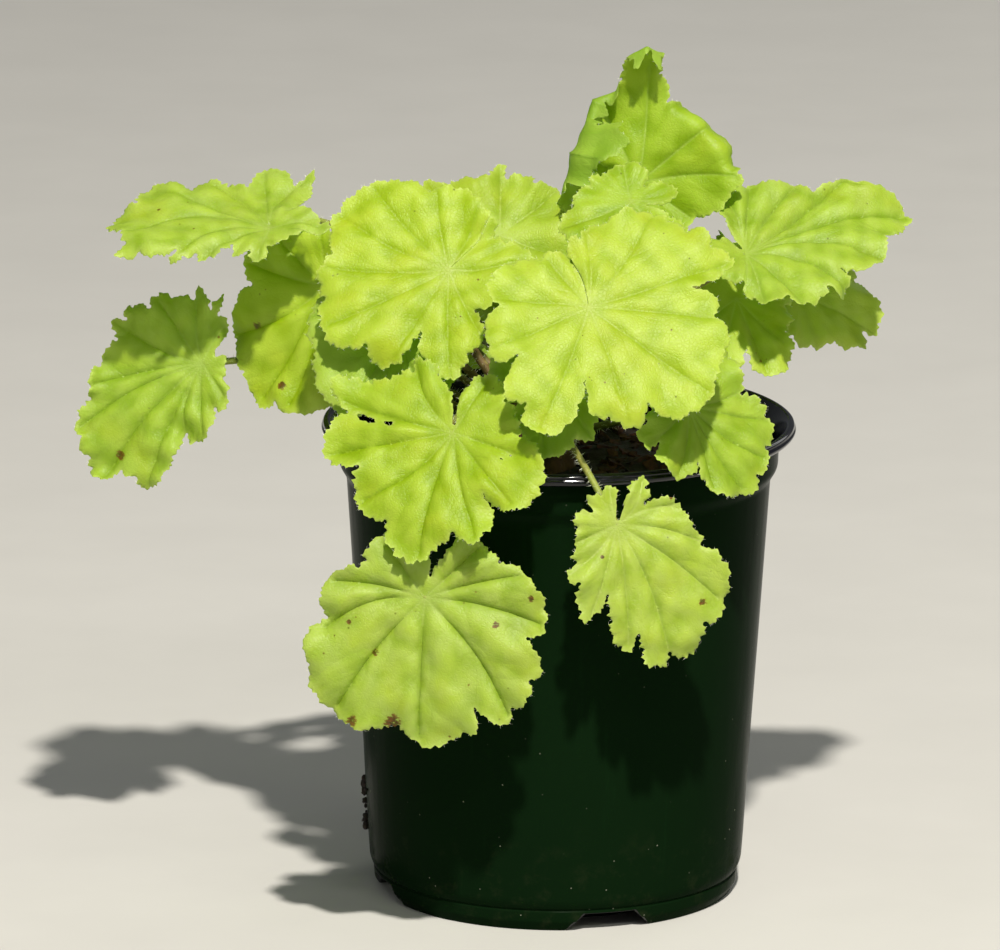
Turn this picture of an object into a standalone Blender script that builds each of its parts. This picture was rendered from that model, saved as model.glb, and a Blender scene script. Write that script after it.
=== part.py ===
"""Potted coral bells in a nursery pot.

Sizes are written in millimetres and degrees, and MM turns them into metres. The pot's axis is Z
and its foot stands at Z = 0. The leaves that hang over the rim face -Y, and +X is to their right.

Pieces: the moulded pot, the soil that fills it, the woody crown seated in the soil, and one stem
and one blade for each leaf. Nothing moves.
"""
import math

import bmesh
import bpy
from mathutils import Vector

MM = 0.001
TOUCH_GAP = 0.3

# Pot
RIM_RADIUS = 82.5
POT_HEIGHT = 167.0
COLLAR_RADIUS = 76.5
COLLAR_BOTTOM = 151.8
COLLAR_STEP = 4.3
WALL_TOP_RADIUS = 73.6
WALL_FOOT_RADIUS = 65.0
WALL_FOOT_HEIGHT = 12.0
HEEL_RADIUS = 63.6
HEEL_HEIGHT = 7.0
FOOT_RADIUS = 60.9
WALL = 1.5
FLOOR = 2.0
STAND_RADIUS = 46.0
CHANNEL_HEIGHT = 6.0
LATHE_STEPS = 72

# Drain notches through the heel, one every quarter turn
NOTCH_COUNT = 4
NOTCH_TURN = 17.5
NOTCH_WIDE = 31.0
NOTCH_NARROW = 17.5
NOTCH_HEIGHT = 6.4
DRAIN_HOLE_RADIUS = 3.5
DRAIN_HOLE_AT = 52.5
DRAIN_HOLE_SIDES = 12

# Soil and crown
SOIL_TOP = 151.0
SOIL_LUMP = 1.6
SOIL_EDGE_DROP = 6.0
SOIL_SIDES = 40
CROWN_AT = (-8.0, 4.0)
CROWN_FOOT = 145.5
CROWN_TOP = 177.0
CROWN_DOME = 2.5
CROWN_RADIUS = 15.0
CROWN_NECK = 7.0
CROWN_SEAT = 18.0
CROWN_SIDES = 18
CROWN_ROWS = 6

# Leaves
BLADE = 0.8
STEM_RADIUS = 1.2
STEM_FOOT_RADIUS = 1.5
STEM_STEPS = 12
STEM_SIDES = 6
RING_STEPS = (0.35, 0.7, 1.0)

# One entry for each leaf. at: where the stem meets the blade. face: the way the upper side looks,
# as a turn from -Y towards +X and a rise. tip: the clock angle of the tip on the blade, 0 upwards.
# edge: clock angle from the tip and reach, at each lobe and each notch. bends: direction on the
# blade, start, length and angle of each curl. foot: turn round the crown and height of the stem's
# foot. via: the two points that steer the stem.
LEAVES = (
    {
        "name": "front_centre", "at": (10, -76, 224), "face": (4, 38), "tip": 165,
        "bends": ((0, 12, 40, -18), (180, 8, 30, -10)),
        "foot": (10, 172), "via": ((-3, -30, 206), (9, -60, 211)),
        "edge": (
            (-178, 27), (-170, 26), (-153, 34), (-140, 41), (-125, 44), (-115, 45), (-109, 50),
            (-103, 48), (-95, 53), (-85, 36), (-79, 44), (-70, 43), (-63, 48), (-44, 49),
            (-34, 52), (-20, 49), (-13, 40), (-4, 46), (7, 40), (15, 39), (20, 27), (26, 43),
            (35, 49), (43, 49), (48, 42), (58, 44), (69, 31), (75, 38), (97, 36), (106, 31),
            (117, 35), (129, 34), (145, 30), (154, 24), (163, 25), (178, 18),
        ),
    },
    {
        "name": "left_centre", "at": (-38, -42, 229), "face": (-4, 36), "tip": 205,
        "bends": ((0, 12, 35, -15), (90, 10, 35, -12)),
        "foot": (-50, 173), "via": ((-22, -8, 202), (-36, -26, 215)),
        "edge": (
            (-170, 24), (-155, 20), (-145, 22), (-132, 27), (-118, 31), (-100, 30), (-81, 21),
            (-59, 18), (-55, 27), (-40, 32), (-28, 40), (-14, 34), (-4, 24), (0, 37), (8, 42),
            (19, 39), (31, 48), (44, 47), (52, 44), (61, 45), (73, 41), (88, 45), (100, 45),
            (112, 43), (126, 37), (140, 30), (148, 31), (162, 30), (178, 26),
        ),
    },
    {
        "name": "top_right", "at": (27, 8, 249), "face": (0, 10), "tip": 3,
        "bends": ((-90, 1, 8, 25), (90, 1, 10, 18), (-62, 22, 9, 165)),
        "foot": (60, 174), "via": ((6, 14, 205), (24, 15, 228)),
        "edge": (
            (-150, 22), (-120, 28), (-105, 36), (-90, 42), (-72, 46), (-60, 44), (-48, 42),
            (-36, 34), (-20, 35), (-11, 41), (-5, 47), (0, 49), (5, 42), (12, 37), (16, 33),
            (33, 31), (49, 32), (60, 31), (81, 37), (92, 34), (117, 24), (150, 20), (180, 10),
        ),
    },
    {
        "name": "far_left_top", "at": (-100, -16, 237), "face": (-8, 74), "tip": 266,
        "bends": ((90, 3, 20, 14), (-90, 10, 15, -18), (0, 25, 30, -18)),
        "foot": (-95, 171), "via": ((-48, 18, 222), (-88, 30, 241)),
        "edge": (
            (-175, 12), (-150, 9), (-120, 9), (-95, 14), (-83, 21), (-65, 20), (-52, 15),
            (-41, 29), (-36, 26), (-30, 38), (-22, 43), (-17, 39), (-13, 51), (-6, 54), (2, 51),
            (8, 57), (15, 57), (20, 50), (27, 52), (34, 50), (40, 38), (50, 36), (57, 30),
            (68, 26), (85, 33), (94, 32), (104, 27), (113, 33), (118, 26), (121, 12), (129, 16),
            (150, 17), (167, 18), (179, 21),
        ),
    },
    {
        "name": "far_left_low", "at": (-124, 2, 185), "face": (-16, 20), "tip": 212,
        "bends": ((0, 15, 40, -15),),
        "foot": (-80, 160), "via": ((-60, 16, 190), (-106, 20, 183)),
        "edge": (
            (-178, 16), (-165, 7), (-155, 6), (-145, 9), (-119, 9), (-95, 10), (-84, 14),
            (-65, 18), (-56, 17), (-50, 22), (-42, 26), (-30, 28), (-24, 25), (-19, 40),
            (-12, 48), (-6, 46), (1, 47), (5, 55), (10, 55), (15, 52), (25, 52), (37, 42),
            (50, 41), (53, 37), (69, 32), (79, 35), (83, 32), (88, 34), (100, 27), (112, 29),
            (118, 26), (135, 23), (140, 27), (154, 19), (160, 25), (164, 18), (172, 18),
        ),
    },
    {
        "name": "front_left", "at": (-36, -82, 181.5), "face": (-18, 33), "tip": 200,
        "bends": ((0, 12, 35, -20),),
        "foot": (-25, 160), "via": ((-18, -36, 184), (-32, -66, 172)),
        "edge": (
            (-167, 24), (-146, 21), (-112, 24), (-103, 32), (-92, 37), (-72, 40), (-61, 35),
            (-56, 26), (-53, 36), (-41, 41), (-30, 36), (-22, 40), (-11, 47), (3, 43), (10, 38),
            (20, 41), (30, 40), (38, 36), (43, 34), (46, 38), (55, 46), (69, 43), (76, 39),
            (87, 48), (96, 36), (104, 31), (119, 28), (127, 30), (140, 19), (150, 12), (160, 3),
            (165, 14), (176, 22),
        ),
    },
    {
        "name": "low_left", "at": (-45, -94, 126.5), "face": (-10, 10), "tip": 183,
        "bends": ((0, 15, 40, -12),),
        "foot": (-45, 162), "via": ((-36, -50, 196), (-46, -81, 178)),
        "edge": (
            (-171, 8), (-163, 12), (-155, 23), (-137, 27), (-121, 29), (-109, 36), (-93, 41),
            (-80, 43), (-75, 38), (-64, 47), (-58, 46), (-53, 49), (-44, 48), (-38, 51),
            (-30, 41), (-27, 49), (-21, 48), (-7, 51), (7, 45), (13, 46), (28, 51), (47, 50),
            (55, 46), (66, 44), (73, 35), (83, 36), (96, 34), (110, 25), (117, 24), (129, 26),
            (150, 26), (165, 24), (178, 16),
        ),
    },
    {
        "name": "low_right", "at": (20, -95, 152.8), "face": (8, 14), "tip": 150,
        "bends": ((0, 12, 35, -18),),
        "foot": (20, 162), "via": ((-8, -46, 190), (4, -85, 181)),
        "edge": (
            (-176, 12), (-161, 14), (-148, 13), (-140, 2), (-134, 15), (-121, 19), (-110, 16),
            (-96, 12), (-88, 20), (-71, 23), (-58, 26), (-46, 30), (-42, 37), (-27, 45),
            (-15, 47), (-11, 45), (-3, 50), (2, 52), (8, 48), (13, 51), (18, 48), (20, 38),
            (26, 43), (32, 40), (35, 32), (39, 24), (43, 30), (50, 34), (58, 30), (65, 24),
            (75, 25), (80, 19), (95, 16), (104, 15), (118, 14), (133, 15), (150, 10), (165, 14),
        ),
    },
    {
        "name": "right_low", "at": (44, -66, 188), "face": (28, 32), "tip": 150,
        "bends": ((0, 12, 30, -20),),
        "foot": (38, 158), "via": ((8, -25, 174), (36, -52, 178)),
        "edge": (
            (-160, 20), (-130, 24), (-110, 26), (-85, 24), (-64, 21), (-59, 26), (-46, 29),
            (-36, 33), (-24, 31), (-13, 35), (-6, 34), (-1, 37), (13, 35), (26, 32), (32, 27),
            (37, 21), (45, 26), (54, 28), (73, 25), (80, 19), (85, 25), (96, 24), (106, 19),
            (119, 15), (135, 18), (150, 16), (180, 5),
        ),
    },
    {
        "name": "right_top", "at": (64, -14, 229), "face": (8, 58), "tip": 82,
        "bends": ((-90, 2, 20, 12), (0, 30, 25, -10)),
        "foot": (80, 170), "via": ((20, -8, 206), (50, -17, 218)),
        "edge": (
            (-155, 16), (-134, 11), (-118, 9), (-112, 3), (-107, 12), (-101, 27), (-90, 32),
            (-76, 30), (-64, 32), (-53, 35), (-38, 38), (-35, 45), (-31, 52), (-24, 56),
            (-15, 62), (-8, 62), (-3, 56), (1, 50), (9, 49), (17, 46), (23, 40), (25, 33),
            (28, 37), (38, 38), (44, 32), (58, 32), (66, 31), (70, 25), (80, 25), (90, 26),
            (96, 20), (103, 21), (109, 14), (125, 15), (140, 16), (160, 15), (180, 16),
        ),
    },
    {
        "name": "left_middle", "at": (-81, 2, 213), "face": (-25, 18), "tip": 218,
        "bends": ((0, 15, 40, -12),),
        "foot": (-110, 166), "via": ((-40, 10, 200), (-72, 11, 204)),
        "edge": (
            (-150, 26), (-120, 30), (-95, 36), (-70, 36), (-46, 43), (-25, 46), (-21, 44),
            (-17, 48), (-11, 48), (1, 42), (13, 40), (22, 38), (34, 34), (47, 28), (61, 32),
            (70, 32), (87, 27), (112, 26), (128, 20), (146, 17), (165, 14), (180, 10),
        ),
    },
    {
        "name": "right_back_low", "at": (83, 16, 208), "face": (30, 32), "tip": 120,
        "bends": (),
        "foot": (105, 160), "via": ((35, 16, 190), (72, 25, 199)),
        "edge": (
            (-150, 18), (-120, 20), (-90, 24), (-60, 26), (-36, 24), (-20, 28), (-11, 31),
            (5, 31), (8, 27), (18, 29), (26, 26), (38, 21), (50, 20), (76, 19), (97, 16),
            (122, 13), (150, 14), (180, 8),
        ),
    },
    {
        "name": "right_back", "at": (61, 0, 210), "face": (20, 40), "tip": 160,
        "bends": (),
        "foot": (75, 163), "via": ((25, 7, 188), (54, 11, 200)),
        "edge": (
            (-150, 20), (-110, 24), (-80, 24), (-55, 18), (-40, 20), (-26, 21), (-10, 28),
            (3, 32), (12, 31), (20, 28), (25, 20), (31, 27), (43, 31), (53, 27), (70, 30),
            (90, 28), (120, 26), (150, 20), (180, 8),
        ),
    },
    {
        "name": "back_centre", "at": (-21, 8, 230), "face": (0, 42), "tip": 350,
        "bends": (),
        "foot": (180, 173), "via": ((-15, 17, 200), (-20, 18, 218)),
        "edge": (
            (-150, 22), (-115, 26), (-85, 30), (-60, 28), (-42, 32), (-31, 27), (-13, 23),
            (0, 23), (10, 27), (16, 23), (30, 25), (42, 23), (58, 27), (95, 25), (120, 26),
            (150, 20), (180, 8),
        ),
    },
    {
        "name": "top_centre", "at": (24, -26, 250), "face": (-3, 48), "tip": 340,
        "bends": (),
        "foot": (35, 174), "via": ((2, -4, 212), (24, -14, 236)),
        "edge": (
            (-170, 26), (-150, 30), (-130, 26), (-98, 27), (-78, 20), (-47, 16), (-20, 14),
            (8, 15), (27, 15), (45, 12), (56, 8), (75, 14), (105, 16), (118, 10), (125, 6),
            (143, 24), (165, 28),
        ),
    },
    {
        "name": "under_left", "at": (-55, -42, 208), "face": (-15, 30), "tip": 205,
        "bends": (),
        "foot": (-70, 165), "via": ((-28, -14, 186), (-50, -30, 197)),
        "edge": (
            (-155, 18), (-130, 24), (-105, 24), (-76, 29), (-54, 30), (-30, 30), (-11, 32),
            (0, 35), (15, 35), (27, 33), (45, 30), (70, 32), (95, 28), (120, 28), (150, 22),
            (180, 8),
        ),
    },
    {
        "name": "under_front", "at": (-4, -66, 196.5), "face": (0, 30), "tip": 185,
        "bends": (),
        "foot": (-5, 166), "via": ((-6, -24, 182), (-4, -52, 186)),
        "edge": (
            (-150, 14), (-120, 20), (-90, 22), (-66, 20), (-50, 23), (-41, 26), (-29, 24),
            (-18, 27), (-3, 28), (11, 23), (25, 20), (45, 14), (61, 18), (79, 20), (120, 20),
            (150, 16), (180, 6),
        ),
    },
    {
        "name": "back_left", "at": (-62, 48, 210), "face": (-145, 50), "tip": 180,
        "bends": ((0, 10, 30, -20),), "size": 38,
        "foot": (-140, 169), "via": ((-25, 25, 190), (-56, 40, 198)),
    },
    {
        "name": "back_right", "at": (58, 50, 210), "face": (150, 48), "tip": 175,
        "bends": ((0, 10, 30, -20),), "size": 37,
        "foot": (140, 169), "via": ((18, 25, 190), (52, 41, 198)),
    },
    {
        "name": "back_middle", "at": (-6, 62, 203), "face": (180, 40), "tip": 185,
        "bends": ((0, 10, 30, -20),), "size": 45,
        "foot": (170, 161), "via": ((-6, 30, 186), (-1, 56, 193)),
    },
    {
        "name": "back_low_left", "at": (-38, 93, 150), "face": (-160, 15), "tip": 185,
        "bends": ((0, 10, 35, -15),), "size": 44,
        "foot": (-160, 160), "via": ((-20, 45, 194), (-37, 79, 184)),
    },
    {
        "name": "back_low_right", "at": (40, 94, 138), "face": (158, 12), "tip": 178,
        "bends": ((0, 10, 35, -15),), "size": 42,
        "foot": (150, 160), "via": ((15, 45, 196), (39, 79, 184)),
    },
    {
        "name": "left_back", "at": (-82, 38, 182), "face": (-110, 45), "tip": 190,
        "bends": ((0, 10, 25, -15),), "size": 26,
        "foot": (-125, 159), "via": ((-35, 20, 178), (-72, 31, 176)),
    },
)

# Lobes of a leaf with no edge of its own: clock angle from the tip and reach in parts of its size
PLAIN_LOBES = ((0, 1.0), (42, 0.97), (84, 0.9), (124, 0.8), (158, 0.66))
PLAIN_NOTCH = 0.8
PLAIN_SINUS = 0.16
PLAIN_SHOULDER = 0.94
PLAIN_SHOULDER_TURN = 11.0


def clear_scene():
    for obj in list(bpy.data.objects):
        bpy.data.objects.remove(obj, do_unlink=True)


def plain_material(name, colour, roughness):
    material = bpy.data.materials.new(name)
    material.use_nodes = True
    shader = material.node_tree.nodes["Principled BSDF"]
    shader.inputs["Base Color"].default_value = (*colour, 1.0)
    shader.inputs["Roughness"].default_value = roughness
    shader.inputs["Metallic"].default_value = 0.0
    return material


def add_piece(name, points, faces, material, sharp_angle=40.0):
    """Make one closed piece from points in millimetres."""
    mesh = bpy.data.meshes.new(name)
    mesh.from_pydata([Vector(point) * MM for point in points], [], faces)
    shape = bmesh.new()
    shape.from_mesh(mesh)
    bmesh.ops.recalc_face_normals(shape, faces=shape.faces)
    shape.to_mesh(mesh)
    shape.free()
    mesh.shade_smooth()
    mesh.set_sharp_from_angle(angle=math.radians(sharp_angle))
    mesh.materials.append(material)
    piece = bpy.data.objects.new(name, mesh)
    bpy.context.scene.collection.objects.link(piece)
    return piece


def loft(rings, first=None, last=None):
    """Skin equal rings of points, closing each end with a fan to a point or with one face."""
    count = len(rings[0])
    points = [point for ring in rings for point in ring]
    faces = []
    for row in range(len(rings) - 1):
        for side in range(count):
            turn = (side + 1) % count
            low = row * count
            high = low + count
            faces.append((low + side, low + turn, high + turn, high + side))
    for centre, start in ((first, 0), (last, (len(rings) - 1) * count)):
        if centre is None:
            faces.append(tuple(range(start, start + count)))
            continue
        points.append(centre)
        hub = len(points) - 1
        faces.extend((hub, start + side, start + (side + 1) % count) for side in range(count))
    return points, faces


def circle(radius, height, steps, centre=(0.0, 0.0)):
    ring = []
    for step in range(steps):
        turn = 2.0 * math.pi * step / steps
        ring.append((
            centre[0] + radius * math.sin(turn),
            centre[1] - radius * math.cos(turn),
            height,
        ))
    return ring


def turned(name, profile, material):
    """Turn a profile that starts and ends on the axis."""
    rings = [circle(radius, height, LATHE_STEPS) for radius, height in profile[1:-1]]
    first = (0.0, 0.0, profile[0][1])
    last = (0.0, 0.0, profile[-1][1])
    points, faces = loft(rings, first, last)
    return add_piece(name, points, faces, material)


def pot_profile():
    """The pot's section: under the foot, up the outside, over the lip and down the inside."""
    inner_top = WALL_TOP_RADIUS - WALL
    inner_foot = WALL_FOOT_RADIUS - WALL
    inner_collar = COLLAR_RADIUS - WALL
    channel_roof = CHANNEL_HEIGHT + FLOOR
    foot_and_heel = [
        (0.0, 0.0),
        (STAND_RADIUS - 1.0, 0.0),
        (STAND_RADIUS, 1.0),
        (STAND_RADIUS, CHANNEL_HEIGHT - 1.0),
        (STAND_RADIUS + 1.0, CHANNEL_HEIGHT),
        (FOOT_RADIUS - 4.0, CHANNEL_HEIGHT),
        (FOOT_RADIUS - 2.6, CHANNEL_HEIGHT - 1.4),
        (FOOT_RADIUS - 2.0, 0.0),
        (FOOT_RADIUS, 0.0),
        (FOOT_RADIUS + 0.8, 0.8),
        (HEEL_RADIUS - 0.3, 3.4),
        (HEEL_RADIUS, HEEL_HEIGHT),
        (HEEL_RADIUS - 0.5, HEEL_HEIGHT + 0.6),
        (HEEL_RADIUS + 0.1, HEEL_HEIGHT + 1.2),
        (WALL_FOOT_RADIUS - 0.3, HEEL_HEIGHT + 3.0),
    ]
    wall_and_lip = [
        (WALL_FOOT_RADIUS, WALL_FOOT_HEIGHT),
        (WALL_TOP_RADIUS, COLLAR_BOTTOM - COLLAR_STEP),
        (COLLAR_RADIUS - 0.3, COLLAR_BOTTOM),
        (COLLAR_RADIUS, POT_HEIGHT - 4.9),
        (RIM_RADIUS - 1.2, POT_HEIGHT - 4.6),
        (RIM_RADIUS - 0.2, POT_HEIGHT - 3.8),
        (RIM_RADIUS, POT_HEIGHT - 2.6),
        (RIM_RADIUS - 0.8, POT_HEIGHT - 2.0),
        (RIM_RADIUS - 0.7, POT_HEIGHT - 1.0),
        (RIM_RADIUS - 1.5, POT_HEIGHT - 0.2),
        (RIM_RADIUS - 2.8, POT_HEIGHT),
        (RIM_RADIUS - 3.9, POT_HEIGHT - 0.7),
    ]
    inside = [
        (RIM_RADIUS - 4.4, POT_HEIGHT - 3.0),
        (inner_collar, POT_HEIGHT - 6.6),
        (inner_collar - 0.3, COLLAR_BOTTOM + 0.6),
        (inner_top, COLLAR_BOTTOM - 3.8),
        (inner_foot, WALL_FOOT_HEIGHT),
        (inner_foot - 2.0, channel_roof + 0.6),
        (inner_foot - 3.5, channel_roof),
        (STAND_RADIUS - 1.0, channel_roof),
        (STAND_RADIUS - FLOOR, channel_roof - 1.0),
        (STAND_RADIUS - FLOOR, FLOOR + 1.0),
        (STAND_RADIUS - FLOOR - 1.0, FLOOR),
        (0.0, FLOOR),
    ]
    return foot_and_heel + wall_and_lip + inside


def hide_cutter(cutter):
    cutter.hide_render = True
    cutter.display_type = "WIRE"


def cut_away(piece, cutter):
    hide_cutter(cutter)
    cut = piece.modifiers.new(cutter.name, "BOOLEAN")
    cut.operation = "DIFFERENCE"
    cut.object = cutter


def notch_cutter(index, material):
    """A wedge with slanted ends that opens the heel, and the drain hole behind it."""
    turn = math.radians(NOTCH_TURN + index * 360.0 / NOTCH_COUNT)
    outward = Vector((math.sin(turn), -math.cos(turn), 0.0))
    across = Vector((math.cos(turn), math.sin(turn), 0.0))
    inner = STAND_RADIUS + 4.0
    outer = WALL_FOOT_RADIUS + 6.0
    slope = (NOTCH_WIDE - NOTCH_NARROW) / (2.0 * NOTCH_HEIGHT)
    section = []
    for height, side in ((-1.0, -1), (-1.0, 1), (NOTCH_HEIGHT, 1), (NOTCH_HEIGHT, -1)):
        half = NOTCH_WIDE / 2.0 - slope * height
        section.append(across * half * side + Vector((0.0, 0.0, height)))
    rings = [[outward * reach + point for point in section] for reach in (inner, outer)]
    points, faces = loft(rings)
    return add_piece(f"notch_cutter_{index}", points, faces, material)


def drain_cutter(index, material):
    turn = math.radians(NOTCH_TURN + index * 360.0 / NOTCH_COUNT)
    centre = (DRAIN_HOLE_AT * math.sin(turn), -DRAIN_HOLE_AT * math.cos(turn))
    low = CHANNEL_HEIGHT - 2.0
    high = CHANNEL_HEIGHT + FLOOR + 2.0
    rings = [circle(DRAIN_HOLE_RADIUS, height, DRAIN_HOLE_SIDES, centre) for height in (low, high)]
    points, faces = loft(rings)
    return add_piece(f"drain_cutter_{index}", points, faces, material)


def build_pot():
    plastic = plain_material("pot_plastic", (0.006, 0.035, 0.012), 0.25)
    pot = turned("pot", pot_profile(), plastic)
    for index in range(NOTCH_COUNT):
        cut_away(pot, notch_cutter(index, plastic))
        cut_away(pot, drain_cutter(index, plastic))


def crown_radius(turn, height):
    """Knobbly stock, thick where it leaves the soil and narrow at its top."""
    rise = (height - CROWN_FOOT) / (CROWN_TOP - CROWN_FOOT)
    smooth = CROWN_RADIUS + (CROWN_NECK - CROWN_RADIUS) * rise ** 1.4
    knobs = 1.0 + 0.07 * math.sin(3.0 * turn + 5.0 * rise) + 0.04 * math.sin(7.0 * turn - 4.0 * rise)
    return smooth * knobs


def crown_point(turn, height, clearance=0.0):
    reach = crown_radius(turn, height) + clearance
    return Vector((
        CROWN_AT[0] + reach * math.sin(turn),
        CROWN_AT[1] - reach * math.cos(turn),
        height,
    ))


def crown_slant(turn, height, departure):
    """How far a stem that leaves the bark leans from the bark's normal, 0 upright to 1 along it."""
    upwards = crown_point(turn, height + 1.0) - crown_point(turn, height - 1.0)
    around = crown_point(turn + 0.1, height) - crown_point(turn - 0.1, height)
    normal = around.cross(upwards).normalized()
    return math.sqrt(max(0.0, 1.0 - departure.dot(normal) ** 2))


def build_crown():
    bark = plain_material("crown_bark", (0.09, 0.045, 0.02), 0.85)
    rings = []
    for row in range(CROWN_ROWS + 1):
        height = CROWN_FOOT + (CROWN_TOP - CROWN_FOOT) * row / CROWN_ROWS
        turns = [2.0 * math.pi * side / CROWN_SIDES for side in range(CROWN_SIDES)]
        rings.append([crown_point(turn, height) for turn in turns])
    first = (*CROWN_AT, CROWN_FOOT)
    last = (*CROWN_AT, CROWN_TOP + CROWN_DOME)
    points, faces = loft(rings, first, last)
    add_piece("crown", points, faces, bark)


def soil_height(x, y):
    lumps = math.sin(x * 0.21 + 1.0) * math.cos(y * 0.17) + 0.6 * math.sin(x * 0.09 - y * 0.26)
    return SOIL_TOP + SOIL_LUMP * lumps


def soil_rings():
    """The soil from its foot up the pot wall, over the lumpy top and into the crown's seat."""
    wall_height = COLLAR_BOTTOM - COLLAR_STEP - WALL_FOOT_HEIGHT
    wall_slope = (WALL_TOP_RADIUS - WALL_FOOT_RADIUS) / wall_height
    gap = WALL + 2.0 * TOUCH_GAP
    low = CHANNEL_HEIGHT + FLOOR + TOUCH_GAP
    rings = [
        circle(STAND_RADIUS - FLOOR - 2.0, FLOOR + TOUCH_GAP, SOIL_SIDES),
        circle(STAND_RADIUS - FLOOR - 1.5, low + 0.5, SOIL_SIDES),
        circle(WALL_FOOT_RADIUS - gap - 5.0, low + 0.5, SOIL_SIDES),
        circle(WALL_FOOT_RADIUS - gap - 0.6, WALL_FOOT_HEIGHT + 0.5, SOIL_SIDES),
    ]
    edge_height = SOIL_TOP - SOIL_EDGE_DROP
    top_radius = WALL_FOOT_RADIUS - gap + wall_slope * (edge_height - WALL_FOOT_HEIGHT)
    rings.append(circle(top_radius, edge_height, SOIL_SIDES))
    for part in (1.0, 0.64, 0.29, 0.0):
        ring = []
        for step in range(SOIL_SIDES):
            turn = 2.0 * math.pi * step / SOIL_SIDES
            rim = Vector((top_radius * math.sin(turn), -top_radius * math.cos(turn), 0.0))
            seat = Vector((
                CROWN_AT[0] + CROWN_SEAT * math.sin(turn),
                CROWN_AT[1] - CROWN_SEAT * math.cos(turn),
                0.0,
            ))
            spot = seat.lerp(rim, part)
            ring.append((spot.x, spot.y, soil_height(spot.x, spot.y)))
        rings.append(ring)
    seat_floor = CROWN_FOOT - TOUCH_GAP
    rings.append(circle(CROWN_SEAT - 0.9, seat_floor, SOIL_SIDES, CROWN_AT))
    return rings, seat_floor


def build_soil():
    earth = plain_material("potting_soil", (0.02, 0.012, 0.008), 0.95)
    rings, seat_floor = soil_rings()
    points, faces = loft(rings, (0.0, 0.0, FLOOR + TOUCH_GAP), (*CROWN_AT, seat_floor))
    add_piece("potting_soil", points, faces, earth)


def leaf_axes(leaf):
    """Unit vectors of a blade: towards its tip, to the viewer's right of it, and off its face."""
    turn, rise = (math.radians(angle) for angle in leaf["face"])
    off = Vector((
        math.sin(turn) * math.cos(rise),
        -math.cos(turn) * math.cos(rise),
        math.sin(rise),
    ))
    up = (Vector((0.0, 0.0, 1.0)) - off * off.z).normalized()
    right = up.cross(off)
    clock = math.radians(leaf["tip"])
    tip = up * math.cos(clock) + right * math.sin(clock)
    return tip, tip.cross(off), off


def bend(point, direction, start, length, angle):
    """Curl the part of a blade that lies past start in one direction, keeping its lengths."""
    way = math.radians(direction)
    along = point.x * math.cos(way) + point.y * math.sin(way)
    aside = point.y * math.cos(way) - point.x * math.sin(way)
    if along <= start:
        return point
    curve = math.radians(angle) / length
    turned_by = curve * min(along - start, length)
    rest = max(along - start - length, 0.0)
    height = point.z * math.cos(turned_by) + (1.0 - math.cos(turned_by)) / curve
    height += rest * math.sin(turned_by)
    along = start + math.sin(turned_by) / curve + rest * math.cos(turned_by)
    along -= point.z * math.sin(turned_by)
    return Vector((
        along * math.cos(way) - aside * math.sin(way),
        along * math.sin(way) + aside * math.cos(way),
        height,
    ))


def blade_point(leaf, clock, reach, height):
    """A point of the bent blade: clock angle from the tip, distance, and height off the face."""
    turn = math.radians(clock)
    point = Vector((reach * math.cos(turn), reach * math.sin(turn), height))
    for direction, start, length, angle in leaf["bends"]:
        point = bend(point, direction, start, length, angle)
    tip, right, off = leaf_axes(leaf)
    return Vector(leaf["at"]) + tip * point.x + right * point.y + off * point.z


def plain_edge(size):
    """Lobes and notches of a leaf that has only a size, the same on both sides."""
    edge = [(180.0, size * PLAIN_SINUS)]
    before = None
    for clock, part in PLAIN_LOBES:
        for side in (-1.0, 1.0) if clock else (1.0,):
            lobe = side * clock
            shoulder = size * part * PLAIN_SHOULDER
            edge.append((lobe - PLAIN_SHOULDER_TURN, shoulder))
            edge.append((lobe, size * part))
            edge.append((lobe + PLAIN_SHOULDER_TURN, shoulder))
            if before is not None:
                edge.append((side * (before + clock) / 2.0, size * part * PLAIN_NOTCH))
        before = clock
    return edge


def leaf_edge(leaf):
    edge = leaf.get("edge") or plain_edge(leaf["size"])
    return sorted(edge)


def build_blade(leaf, material):
    """A thin closed blade: an upper and a lower fan of rings joined round the lobed margin."""
    edge = leaf_edge(leaf)
    sheets = []
    for height in (-BLADE / 2.0, BLADE / 2.0):
        rings = []
        for part in RING_STEPS:
            rings.append([blade_point(leaf, clock, reach * part, height) for clock, reach in edge])
        sheets.append(rings)
    lower, upper = sheets
    first = blade_point(leaf, 0.0, 0.0, -BLADE / 2.0)
    last = blade_point(leaf, 0.0, 0.0, BLADE / 2.0)
    points, faces = loft(lower + upper[::-1], first, last)
    add_piece("leaf_" + leaf["name"], points, faces, material, 60.0)


def route_point(route, part):
    """A cubic curve through the stem's foot and head, steered by the two points between."""
    rest = 1.0 - part
    weights = (rest ** 3, 3.0 * rest ** 2 * part, 3.0 * rest * part ** 2, part ** 3)
    return sum((point * weight for point, weight in zip(route, weights)), Vector())


def stem_route(leaf):
    turn, height = leaf["foot"]
    middle = [Vector(point) for point in leaf["via"]]
    on_bark = crown_point(math.radians(turn), height)
    leaning = crown_slant(math.radians(turn), height, (middle[0] - on_bark).normalized())
    foot = crown_point(math.radians(turn), height, TOUCH_GAP + STEM_FOOT_RADIUS * leaning)
    off = leaf_axes(leaf)[2]
    under = Vector(leaf["at"]) - off * (BLADE / 2.0 + TOUCH_GAP)
    arrival = (under - middle[1]).normalized()
    slant = math.sqrt(max(0.0, 1.0 - arrival.dot(off) ** 2))
    head = under - off * STEM_RADIUS * slant
    return [foot, *middle, head]


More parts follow.
